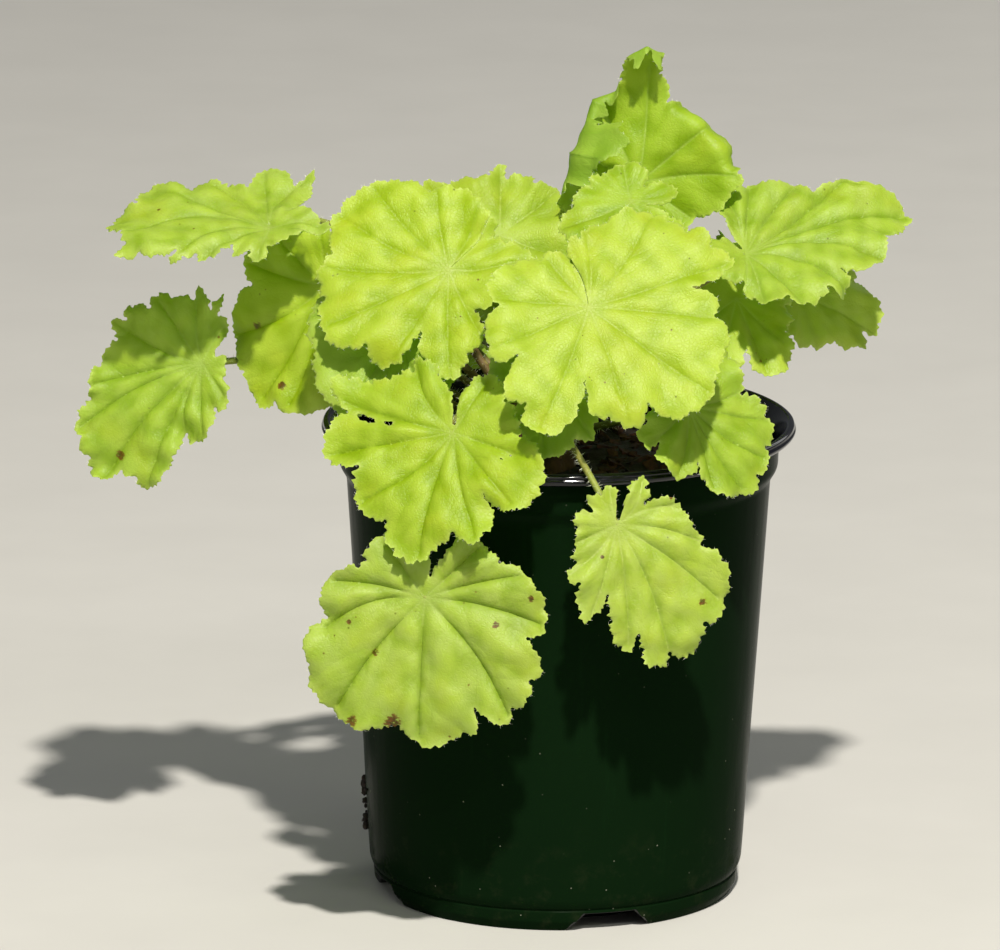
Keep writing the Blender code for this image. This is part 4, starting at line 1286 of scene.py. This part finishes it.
def with_slit(loop):
    """Cut the narrow gap between the two basal lobes, from the margin in to the stem."""
    turns = np.degrees(np.arctan2(loop[:, 1], loop[:, 0]))
    near = np.abs((turns - 180.0 + 180.0) % 360.0 - 180.0) < 16.0
    reach = np.hypot(*loop.T)
    notch = int(np.argmin(np.where(near, reach, 1e9)))
    mouth = loop[notch]
    length = float(np.hypot(*mouth))
    way = mouth / length
    across = np.array([-way[1], way[0]])
    steps = max(3, int((length - SLIT_START) / SLIT_STEP))
    into = []
    for step in range(steps + 1):
        part = 1.0 - step / steps
        spot = way * (SLIT_START + (length - SLIT_START) * part)
        spot = spot + across * SLIT_BOW * length * math.sin(part * math.pi)
        into.append((spot, 0.06 + 0.1 * part ** 2))
    inward = [spot - across * half for spot, half in into[1:]]
    back = [spot + across * half for spot, half in into[:0:-1]]
    loop = np.vstack([loop[:notch], inward, back, loop[notch + 1:]])
    return loop, way, length


def inside(points, loop):
    """Which points lie inside the closed loop."""
    found = []
    x1, y1 = loop.T
    x2, y2 = np.roll(loop, -1, axis=0).T
    rise = np.where(y2 == y1, 1e-12, y2 - y1)
    for start in range(0, len(points), 1500):
        x = points[start:start + 1500, 0, None]
        y = points[start:start + 1500, 1, None]
        crossed = ((y1 > y) != (y2 > y)) & (x < x1 + (y - y1) * (x2 - x1) / rise)
        found.append(np.count_nonzero(crossed, axis=1) % 2 == 1)
    return np.concatenate(found)


def nearest(points, samples):
    """Distance from each flat point to the nearest sample."""
    tree = kdtree.KDTree(len(samples))
    for index, (x, y) in enumerate(samples):
        tree.insert((x, y, 0.0), index)
    tree.balance()
    return np.array([tree.find((x, y, 0.0))[2] for x, y in points])


def margin_reach(loop):
    """A function that gives the margin's reach at any angle."""
    turns = np.arctan2(loop[:, 1], loop[:, 0])
    order = np.argsort(turns)
    turns = turns[order]
    reach = np.hypot(*loop.T)[order]
    return lambda turn: float(np.interp(turn, turns, reach, period=2.0 * math.pi))


def lobe_veins(leaf, chance):
    """Veins of a leaf without a table of them: one to each of its longest lobes."""
    edge = sorted(leaf.get("edge") or plain_edge(leaf["size"]))
    lobes = []
    for index, (clock, reach) in enumerate(edge):
        beside = max(edge[index - 1][1], edge[(index + 1) % len(edge)][1])
        if reach >= beside and abs(clock) < 172:
            lobes.append((reach * (1.2 - abs(clock) / 400.0), clock, reach))
    chosen = []
    for _, clock, reach in sorted(lobes, reverse=True):
        if all(abs(clock - other[0]) > 27.0 for other in chosen) and len(chosen) < 9:
            chosen.append((clock, reach, chance.uniform(-0.05, 0.05) * reach))
    return sorted(chosen)


def side_branch(spot, heading, curl, turn, most, reach_at):
    """A side vein that runs on to the margin, or to the ground of the next main vein."""
    branch = []
    for _ in range(BRANCH_STEPS):
        spot = spot + VEIN_STEP * np.array([math.cos(heading), math.sin(heading)])
        heading -= curl
        here = math.atan2(spot[1], spot[0])
        swing = abs((here - turn + math.pi) % (2.0 * math.pi) - math.pi)
        if swing > most or np.hypot(*spot) > 0.97 * reach_at(here):
            break
        branch.append(spot)
    return branch


def vein_lines(leaf, loop, chance):
    """Main veins from the stem to the lobes, and side veins that branch from them to the teeth."""
    reach_at = margin_reach(loop)
    picked = leaf.get("veins") or lobe_veins(leaf, chance)
    chosen = [clock for clock, _, _ in picked]
    main = []
    side_veins = []
    for index, (clock, reach, sway) in enumerate(picked):
        turn = math.radians(clock)
        length = min(reach, reach_at(turn) * 0.96)
        way = np.array([math.cos(turn), math.sin(turn)])
        across = np.array([-way[1], way[0]])
        count = max(6, int(length / VEIN_STEP))
        parts = np.arange(1, count + 1) / count
        bow = (np.sin(parts * math.pi) * sway)[:, None]
        line = way * (parts * length)[:, None] + across * bow
        main.append(line)
        room = []
        for step in (-1, 1):
            other = index + step
            gap = abs(chosen[other] - clock) if 0 <= other < len(chosen) else 50.0
            room.append(math.radians(min(gap, 60.0)) * SHARE_OF_GAP)
        for start in BRANCHES:
            for side, most in ((-1.0, room[0]), (1.0, room[1])):
                at = min(0.97, start + chance.uniform(-0.09, 0.09))
                origin = line[min(count - 1, int(at * count))]
                heading = turn + side * math.radians(chance.uniform(*BRANCH_ANGLES))
                curl = side * chance.uniform(*BRANCH_CURLS)
                branch = side_branch(origin, heading, curl, turn, most, reach_at)
                if len(branch) > 4:
                    side_veins.append(np.array(branch))
    return main, side_veins


def curled(along, height, start, length, curve):
    """Distances along a sheet and heights off it, once it curls past start at its own length."""
    turned = curve * np.clip(along - start, 0.0, length)
    rest = np.maximum(along - start - length, 0.0)
    lifted = height * np.cos(turned) + (1.0 - np.cos(turned)) / curve + rest * np.sin(turned)
    moved = start + np.sin(turned) / curve + rest * np.cos(turned) - height * np.sin(turned)
    past = along > start
    return np.where(past, moved, along), np.where(past, lifted, height)


def bend(points, direction, start, length, angle):
    """Curl the part of a blade that lies past start in one direction."""
    way = math.radians(direction)
    x, y, height = points.T
    along = x * math.cos(way) + y * math.sin(way)
    aside = y * math.cos(way) - x * math.sin(way)
    along, height = curled(along, height, start, length, math.radians(angle) / length)
    return np.column_stack([
        along * math.cos(way) - aside * math.sin(way),
        along * math.sin(way) + aside * math.cos(way),
        height,
    ])


def hem(points, turn, first, last, first_reach, last_reach, length, angle):
    """Roll a stretch of the margin, forwards when the angle is positive."""
    clock = np.degrees(turn)
    share = np.clip((clock - first) / (last - first), 0.0, 1.0)
    start = first_reach + (last_reach - first_reach) * share
    window = np.clip((clock - first) / 5.0 + 0.5, 0.0, 1.0)
    window = window * np.clip((last - clock) / 5.0 + 0.5, 0.0, 1.0)
    curve = np.radians(angle) * window ** 2 * (3.0 - 2.0 * window) / length
    curve = np.where(np.abs(curve) < 1e-6, 1e-6, curve)
    reach = np.hypot(points[:, 0], points[:, 1])
    moved, height = curled(reach, points[:, 2], start, length, curve)
    scale = moved / np.maximum(reach, 1e-6)
    return np.column_stack([points[:, 0] * scale, points[:, 1] * scale, height])


def swells(points, size, chance, waves=9):
    """Smooth random lumps of about the given size, mostly between -1 and 1."""
    total = np.zeros(len(points))
    for _ in range(waves):
        way = chance.uniform(0.0, 2.0 * math.pi)
        rate = 2.0 * math.pi / (size * chance.uniform(1.5, 3.2))
        phase = chance.uniform(0.0, 2.0 * math.pi)
        along = points[:, 0] * math.cos(way) + points[:, 1] * math.sin(way)
        total += np.sin(along * rate + phase)
    return total / math.sqrt(waves)


def flat_mesh(loop, holes, veins, spots, spacing, chance):
    """Triangles inside the margin, crowded along the veins and round the marks."""
    low = loop.min(axis=0)
    high = loop.max(axis=0)
    rows = int((high[1] - low[1]) / (spacing * 0.866)) + 2
    columns = int((high[0] - low[0]) / spacing) + 2
    grid = np.array([
        (low[0] + (column + 0.5 * (row % 2)) * spacing, low[1] + row * spacing * 0.866)
        for row in range(rows) for column in range(columns)
    ])
    grid += np.array([[chance.uniform(-0.12, 0.12) for _ in range(2)] for _ in grid]) * spacing
    lines = [np.zeros((1, 2))]
    for line in veins:
        way = np.gradient(line, axis=0)
        way /= np.hypot(*way.T)[:, None] + 1e-9
        across = np.column_stack([-way[:, 1], way[:, 0]])
        lines.extend((line, line + across * VEIN_SIDE, line - across * VEIN_SIDE))
    vein_points = np.vstack(lines)
    kept = []
    taken = set()
    for point in vein_points:
        key = (round(point[0] / VEIN_GAP), round(point[1] / VEIN_GAP))
        if key not in taken:
            taken.add(key)
            kept.append(point)
    vein_points = np.array(kept)
    rims = np.vstack([loop, *holes]) if holes else loop
    grid = grid[nearest(grid, vein_points) > spacing * 0.55]
    inner = np.vstack([vein_points, grid, *spots])
    inner = inner[inside(inner, loop)]
    inner = inner[nearest(inner, rims) > MARGIN_GAP]
    for hole in holes:
        inner = inner[~inside(inner, hole)]
    points = np.vstack([rims, inner])
    edges = []
    start = 0
    for rim in (loop, *holes):
        count = len(rim)
        edges.extend((start + step, start + (step + 1) % count) for step in range(count))
        start += count
    found = geometry.delaunay_2d_cdt([Vector(point) for point in points], edges, [], 0, 1e-4)
    flat = np.array([tuple(point) for point in found[0]])
    faces = np.array(found[2])
    middle = flat[faces].mean(axis=1)
    keep = inside(middle, loop)
    for hole in holes:
        keep &= ~inside(middle, hole)
    faces = faces[keep]
    used = np.unique(faces)
    again = np.full(len(flat), -1)
    again[used] = np.arange(len(used))
    return flat[used], again[faces]


def chewed_holes(leaf, chance):
    holes = []
    for clock, reach, size in leaf.get("holes", ()):
        turn = math.radians(clock)
        centre = np.array([reach * math.cos(turn), reach * math.sin(turn)])
        ring = []
        for around in turns_of(12):
            radius = size * chance.uniform(0.65, 1.2)
            spot = np.array([math.cos(around) * 0.75, math.sin(around) * 1.4])
            ring.append(centre + radius * spot)
        holes.append(np.array(ring))
    return holes


def brown_marks(leaf):
    """Centre and size of each mark, and the mesh points that keep its outline crisp."""
    marks = []
    rings = []
    for clock, reach, size in leaf.get("marks", ()):
        turn = math.radians(clock)
        centre = reach * np.array([math.cos(turn), math.sin(turn)])
        marks.append((centre, size))
        for part in (0.02, 0.7, 1.5):
            arounds = [step * 0.785 + part for step in range(8)]
            ring = np.array([[math.cos(around), math.sin(around)] for around in arounds])
            rings.append(centre + size * part * ring)
    return marks, rings


def quilted(leaf, flat, gaps, slit, chance):
    """Height of each point off the flat blade, and how far up a swelling it lies, 0 to 1.

    Between the veins the blade swells; the veins themselves lie in narrow creases.
    """
    to_main, to_side, to_edge = gaps
    fade = 1.0 - np.exp(-(np.hypot(*flat.T) / QUILT_FROM) ** 2)
    main_crease = np.exp(-to_main / CREASE) + 0.4 * np.exp(-(to_main / GROOVE) ** 2)
    side_crease = np.exp(-(to_side / SIDE_CREASE) ** 2) * np.exp(-((to_main - 9.0) / 30.0) ** 2)
    crest = 1.0 - 0.75 * main_crease - 0.3 * side_crease
    lumps = swells(flat, LUMP, chance)
    flat_rim = 1.0 - 0.75 * np.exp(-to_edge / FLAT_RIM)
    height = leaf["puff"] * (crest + 0.2 * lumps) * fade * flat_rim
    height += leaf.get("pleat", 1.0) * (1.0 - np.exp(-to_main / PLEAT_RUN)) * fade
    height += 0.55 * swells(flat, WAVE, chance) * fade
    frill = np.exp(-to_edge / FRILL_RUN)
    height += leaf.get("frill", 1.3) * frill * swells(flat, FRILL_WAVE, chance) * fade
    turn = np.arctan2(flat[:, 1], flat[:, 0])
    height += 0.5 * frill * np.sin(turn * 17.0 + 1.3) * fade
    if slit is not None:
        way, length = slit
        part = np.clip(flat @ way / length, 0.0, 1.0)
        across = flat[:, 1] * way[0] - flat[:, 0] * way[1]
        off_line = np.abs(across - SLIT_BOW * length * np.sin(part * math.pi))
        lift = 0.45 * np.sign(across) * np.clip(flat @ way / length, 0.0, 1.3)
        height += lift * np.exp(-off_line / 5.0)
    return height, np.clip(0.5 + 0.5 * (crest - 0.5 + 0.5 * lumps), 0.0, 1.0)


def closed_sheets(flat, faces):
    """Faces of the upper sheet, the lower sheet and the narrow rim that joins them."""
    count = len(flat)
    ccw = np.cross(flat[faces[:, 1]] - flat[faces[:, 0]], flat[faces[:, 2]] - flat[faces[:, 0]]) > 0
    faces = np.where(ccw[:, None], faces, faces[:, ::-1])
    upper = [tuple(face) for face in faces[:, ::-1].tolist()]
    lower = [tuple(face) for face in (faces + count).tolist()]
    seen = dict.fromkeys(
        (face[index], face[(index + 1) % 3]) for face in faces.tolist() for index in range(3)
    )
    rim = [
        (first, second, second + count, first + count)
        for first, second in seen if (second, first) not in seen
    ]
    return upper, lower, rim


def blade_piece(leaf, material, number):
    """One finished blade, and the quads of its rim."""
    chance = random.Random(number)
    spacing, fine = OWN_MESH if "edge" in leaf else PLAIN_MESH
    loop = toothed_loop(lobed_loop(leaf), fine, chance, SCALLOP_LENGTHS, SCALLOP, 0.15)
    teeth = TOOTH * leaf.get("teeth", 1.0)
    loop = plain_loop = toothed_loop(loop, fine, chance, TOOTH_LENGTHS, teeth, 0.55)
    slit = None
    if leaf.get("slit"):
        loop, *slit = with_slit(loop)
    holes = chewed_holes(leaf, chance)
    main, side_veins = vein_lines(leaf, plain_loop, chance)
    marks, rings = brown_marks(leaf)
    flat, faces = flat_mesh(loop, holes, main + side_veins, rings, spacing, chance)
    to_main = nearest(flat, np.vstack(main + [np.zeros((1, 2))]))
    to_side = nearest(flat, np.vstack(side_veins)) if side_veins else to_main + 9.0
    to_edge = nearest(flat, np.vstack([loop, *holes]))
    height, crest = quilted(leaf, flat, (to_main, to_side, to_edge), slit, chance)

    turn = np.arctan2(flat[:, 1], flat[:, 0])
    half = 0.5 * BLADE * (1.0 - 0.55 * np.exp(-to_edge / ROUND_RIM))
    sheets = []
    for way_up in (1.0, -1.0):
        points = np.column_stack([flat, height + way_up * half])
        for values in leaf.get("hems", ()):
            points = hem(points, turn, *values)
        for values in leaf.get("bends", ()):
            points = bend(points, *values)
        sheets.append(points)
    axes = np.array([np.array(axis) for axis in leaf_axes(leaf)])
    placed = np.vstack(sheets) @ axes + np.array(leaf["at"], float)
    upper, lower, rim = closed_sheets(flat, faces)

    reach = np.hypot(*flat.T)
    mark = np.zeros(len(flat))
    for centre, size in marks:
        mark = np.maximum(mark, np.clip(1.6 - np.hypot(*(flat - centre).T) / size, 0.0, 1.0))
    pale = np.exp(-(reach / leaf.get("pale", 20.0)) ** 2)
    # Of these values, the finish turns the crease line into painted shade, the height among the
    # veins into painted light and shade, the margin line partly into a painted highlight, and the
    # sheen share into a painted sheen.
    one_sheet = {
        "vein": np.exp(-(to_main / VEIN_LINE) ** 2) * pale,
        "crease_shade": np.exp(-(to_main / CREASE_LINE) ** 2) * (1.0 - np.exp(-(reach / 12.0) ** 2)),
        "side_vein": np.exp(-(to_side / SIDE_VEIN_LINE) ** 2),
        "rim": np.exp(-to_edge / RIM_LINE),
        "painted_sheen": np.full(len(flat), leaf.get("painted_sheen", 0.15)),
        "crest": crest,
        "mark": mark,
        "outer": np.clip(reach / BLADE_REACH, 0.0, 1.0),
        "lime_and_painted_light": np.full(len(flat), leaf["lime_and_painted_light"]),
    }
    attributes = {key: np.tile(values, 2) for key, values in one_sheet.items()}
    attributes["under"] = np.repeat((0.0, 1.0), len(flat))
    name = "blade_" + leaf["name"]
    piece = add_piece(name, placed, upper + lower + rim, material, 75.0, attributes)
    layer = piece.data.uv_layers.new(name="flat")
    corners = np.zeros(len(piece.data.loops), int)
    piece.data.loops.foreach_get("vertex_index", corners)
    spread = np.tile(flat, (2, 1)) * MM + number * 0.13
    layer.data.foreach_set("uv", spread[corners].astype(np.float32).ravel())
    return piece, [[placed[corner] for corner in quad] for quad in rim]


def blade_finish():
    finish = Finish("leaf_blade")
    where = finish.place()
    flat = finish.flat()
    names = ("lime_and_painted_light", "vein", "crease_shade", "side_vein", "rim", "crest", "under", "mark", "outer")
    lime_and_painted_light, vein, crease_shade, side_vein, rim, crest, under, mark, outer = map(finish.attribute, names)
    cloud = finish.grain(where, 17.0, 2.0)
    mottle = finish.grain(where, 5.5, 3.0)
    net = finish.cells(flat, 1.25, "DISTANCE_TO_EDGE").over(0.0, 0.2)
    dust = finish.grain(flat, 0.5, 2.0)
    # Painted light and shade: paler where the skin swells high between the veins, deeper green low
    # in the hollows, with some random mottled tone.
    swell = crest * 0.66 + mottle * 0.34
    # Painted light: the yellowness attribute, raised on shaded leaves, also lightens them through
    # the deep and pale greens.
    deep = finish.mix(lime_and_painted_light, shade(100, 147, 16), shade(172, 197, 18))
    pale = finish.mix(lime_and_painted_light, shade(146, 187, 44), shade(206, 225, 70))
    colour = finish.mix(swell.over(0.25, 0.8), deep, pale)
    gold = finish.mix(lime_and_painted_light, shade(150, 178, 34), shade(208, 216, 44))
    colour = finish.mix(cloud.over(0.48, 0.7) * (0.25 + 0.35 * outer), colour, gold)
    colour = finish.mix(net * 0.07, colour, pale)
    # Painted shade: the blade is darkened along the creases of its main veins, more on the less
    # yellow leaves, and a little along the side veins.
    colour = finish.mix(crease_shade * (0.5 - 0.36 * lime_and_painted_light) + side_vein * 0.06, colour, deep)
    line = finish.mix(lime_and_painted_light, shade(164, 204, 84), shade(222, 236, 122))
    colour = finish.mix(vein * 0.6, colour, line)
    # A pale line along the margin: partly the margin's own pale edge, partly a painted highlight
    # where the margin catches the light.
    colour = finish.mix(rim * 0.6, colour, shade(222, 236, 124))
    # Painted sheen: a whitish mottled cast, by each blade's own share, stands in for light off the
    # down and glossy skin.
    sheen_share = finish.attribute("painted_sheen") * (0.5 + mottle.over(0.3, 0.75))
    colour = finish.mix(sheen_share, colour, shade(210, 220, 140))
    # The underside takes the same painted light and shade from the swells.
    below = finish.mix(swell, shade(128, 168, 50), shade(176, 206, 88))
    colour = finish.mix(under * 0.6, colour, below)
    fleck = finish.cells(flat, 9.0).over(0.05, 0.025)
    colour = finish.mix(fleck * 0.75, colour, shade(92, 70, 20))
    along_tear = {"Vector": flat, "Rotation": (0.0, 0.0, 0.6), "Scale": (1.0, 0.4, 1.0)}
    torn = finish.node("ShaderNodeMapping", {}, along_tear)
    ragged = finish.grain(torn, 0.9, 4.0, 0.7)
    burnt = finish.mix(ragged.over(0.42, 0.6), shade(66, 10, 8), shade(136, 66, 34))
    worn = mark + (ragged - 0.5) * 3.2
    colour = finish.mix(worn.over(0.5, 0.75) * mark.over(0.0, 0.15), colour, burnt)
    dull = 0.35 + 0.14 * mottle + 0.12 * dust
    skin_height = net * 0.36 + dust * 0.25 + mottle * 0.9 - side_vein * 0.3
    normal = finish.bump(skin_height, 0.15)
    skin_surface = finish.surface(
        Base_Color=colour, Roughness=dull, Normal=normal, Specular_IOR_Level=0.55,
    )
    through = finish.node("ShaderNodeBsdfTranslucent", {}, {"Color": shade(192, 222, 34)})
    both = finish.node("ShaderNodeMixShader", {}, {0: 0.5, 1: skin_surface, 2: through})
    return finish.done(both)


blade_material = blade_finish()
margins = []
for number, leaf in enumerate(LEAVES):
    blade, margin = blade_piece(leaf, blade_material, number)
    margins.extend(margin)
    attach(blade, "root")
    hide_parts("leaf_" + leaf["name"])


# The down is the plant's soft white hair. It stands along every stem and fringes every margin. One
# Geometry Nodes tree grows it as thin three-sided cones, once on the stems, once on the margins.
def bristle_tree():
    tree = Tree("bristles", Density="Float", Length="Float", Thickness="Float", Lean="Float",
                Seed="Int", Material="Material")
    inputs = tree.inputs
    spots = tree.add("GeometryNodeDistributePointsOnFaces", Mesh=inputs["Geometry"],
                     Density=inputs["Density"], Seed=inputs["Seed"])
    hair = tree.add("GeometryNodeMeshCone", Vertices=3, Side_Segments=1, Fill_Segments=1,
                    Radius_Top=0.0, Radius_Bottom=inputs["Thickness"], Depth=inputs["Length"])
    sway = tree.spread((-1.0, -1.0, -1.0), (1.0, 1.0, 1.0), inputs["Seed"])
    lean = tree.add("ShaderNodeVectorMath", {"operation": "SCALE"}, sway, Scale=inputs["Lean"])
    way = tree.add("ShaderNodeVectorMath", {"operation": "ADD"},
                   spots.outputs["Normal"], lean.outputs[0])
    stand = tree.add("FunctionNodeAlignRotationToVector", {"axis": "Z"}, Vector=way.outputs[0])
    size = tree.spread((0.5, 0.5, 0.35), (1.0, 1.0, 1.0), inputs["Seed"])
    placed = tree.add("GeometryNodeInstanceOnPoints", Points=spots.outputs["Points"],
                      Instance=hair.outputs["Mesh"], Rotation=stand.outputs[0], Scale=size)
    tree.end(placed.outputs[0])
    return tree


def down_finish():
    finish = Finish("leaf_down")
    tone = finish.grain(finish.place(), 3.0)
    colour = finish.mix(tone, shade(226, 232, 196), shade(250, 250, 240))
    return finish.done(finish.surface(Base_Color=colour, Roughness=0.45))


def joined_faces(name, quads, material):
    points = [corner for quad in quads for corner in quad]
    faces = [tuple(range(start, start + 4)) for start in range(0, len(points), 4)]
    return add_piece(name, points, faces, material)


def stalk_skin():
    """The outside of all the stems together, without their first steps inside the crown."""
    quads = []
    for stem in stems.values():
        mesh = stem.data
        along = np.zeros(len(mesh.vertices))
        mesh.attributes["along"].data.foreach_get("value", along)
        for face in mesh.polygons:
            if len(face.vertices) == 4 and 0.04 < along[face.vertices[0]] < 0.985:
                quads.append([mesh.vertices[corner].co / MM for corner in face.vertices])
    return quads


down_material = down_finish()
bristles = bristle_tree()
stalk_down = grown(
    "stalk_down", joined_faces("stalk_skin", stalk_skin(), down_material), bristles,
    Density=300000.0, Length=2.3 * MM, Thickness=0.11 * MM, Lean=0.45, Seed=3,
    Material=down_material,
)
margin_down = grown(
    "margin_down", joined_faces("margin_strip", margins, down_material), bristles,
    Density=1500000.0, Length=1.3 * MM, Thickness=0.065 * MM, Lean=0.5, Seed=5,
    Material=down_material,
)


# Floor and light: a plain pale table and soft studio lamps, the main one high in front, a little
# to the right of the camera, as the plant was lit. None of this is part of the object.
def floor_piece():
    finish = Finish("pale_table")
    tone = finish.grain(finish.place(), 60.0)
    colour = finish.mix(tone, shade(198, 196, 192), shade(206, 204, 200))
    material = finish.done(finish.surface(Base_Color=colour, Roughness=0.7))
    side = 3000.0
    points = [(x * side, y * side, 0.0) for x, y in ((-1, -1), (1, -1), (1, 1), (-1, 1))]
    return add_piece("table_top", points, [(0, 1, 2, 3)], material)


def lamp(name, at, target, size, power, colour, tall=None):
    """A round soft lamp, or a strip when it has a height of its own; metres and watts."""
    light = bpy.data.lights.new(name, "AREA")
    light.shape = "RECTANGLE" if tall else "DISK"
    light.size = size
    light.size_y = tall or size
    light.energy = power
    light.color = colour
    holder = new_object(name, light)
    holder.location = at
    holder.rotation_euler = (Vector(target) - Vector(at)).to_track_quat("-Z", "Y").to_euler()


floor_piece()
middle = (0.0, 0.0, 0.15)
lamp("key", (0.3, -2.4, 3.35), middle, 0.17, 230.0, (1.0, 0.96, 0.87))
lamp("strip", (0.7, -3.0, 2.5), middle, 3.2, 22.0, (1.0, 0.98, 0.94), 0.04)
lamp("fill_left", (-1.8, -1.2, 0.9), middle, 1.6, 3.5, (0.92, 1.0, 0.8))
lamp("fill_right", (1.9, -0.9, 0.9), middle, 0.6, 3.0, (0.9, 1.0, 0.6))
lamp("back_right", (1.2, 1.6, 1.2), (0.0, 0.0, 0.2), 1.2, 6.0, (1.0, 1.0, 0.96))
world = bpy.data.worlds.new("studio")
world.use_nodes = True
sky = world.node_tree.nodes["Background"].inputs
sky["Color"].default_value = (0.9, 0.95, 1.0, 1.0)
sky["Strength"].default_value = 0.12
bpy.context.scene.world = world
bpy.context.scene.view_settings.view_transform = "Standard"


# Camera, at the photograph's distance, height and narrow angle of view. Its place is in metres, and
# its angles are how far it looks down, to the left, and how far it leans.
CAMERA_AT = (0.0, -3.8687, 1.1004)
LENS = 413.2
TILT = 13.85
PAN = 0.30
ROLL = 0.37


def photo_camera():
    data = bpy.data.cameras.new("photo_camera")
    data.sensor_width = 36.0
    data.lens = LENS
    tilt, pan, roll = (math.radians(angle) for angle in (TILT, PAN, ROLL))
    right = Vector((math.cos(pan), math.sin(pan), 0.0))
    level = math.cos(tilt)
    ahead = Vector((-math.sin(pan) * level, math.cos(pan) * level, -math.sin(tilt)))
    up = right.cross(ahead)
    rolled_right = right * math.cos(roll) + up * math.sin(roll)
    rolled_up = up * math.cos(roll) - right * math.sin(roll)
    camera = new_object("photo_camera", data)
    axes = Matrix((rolled_right, rolled_up, -ahead)).transposed()
    camera.matrix_world = Matrix.Translation(CAMERA_AT) @ axes.to_4x4()
    bpy.context.scene.camera = camera


photo_camera()
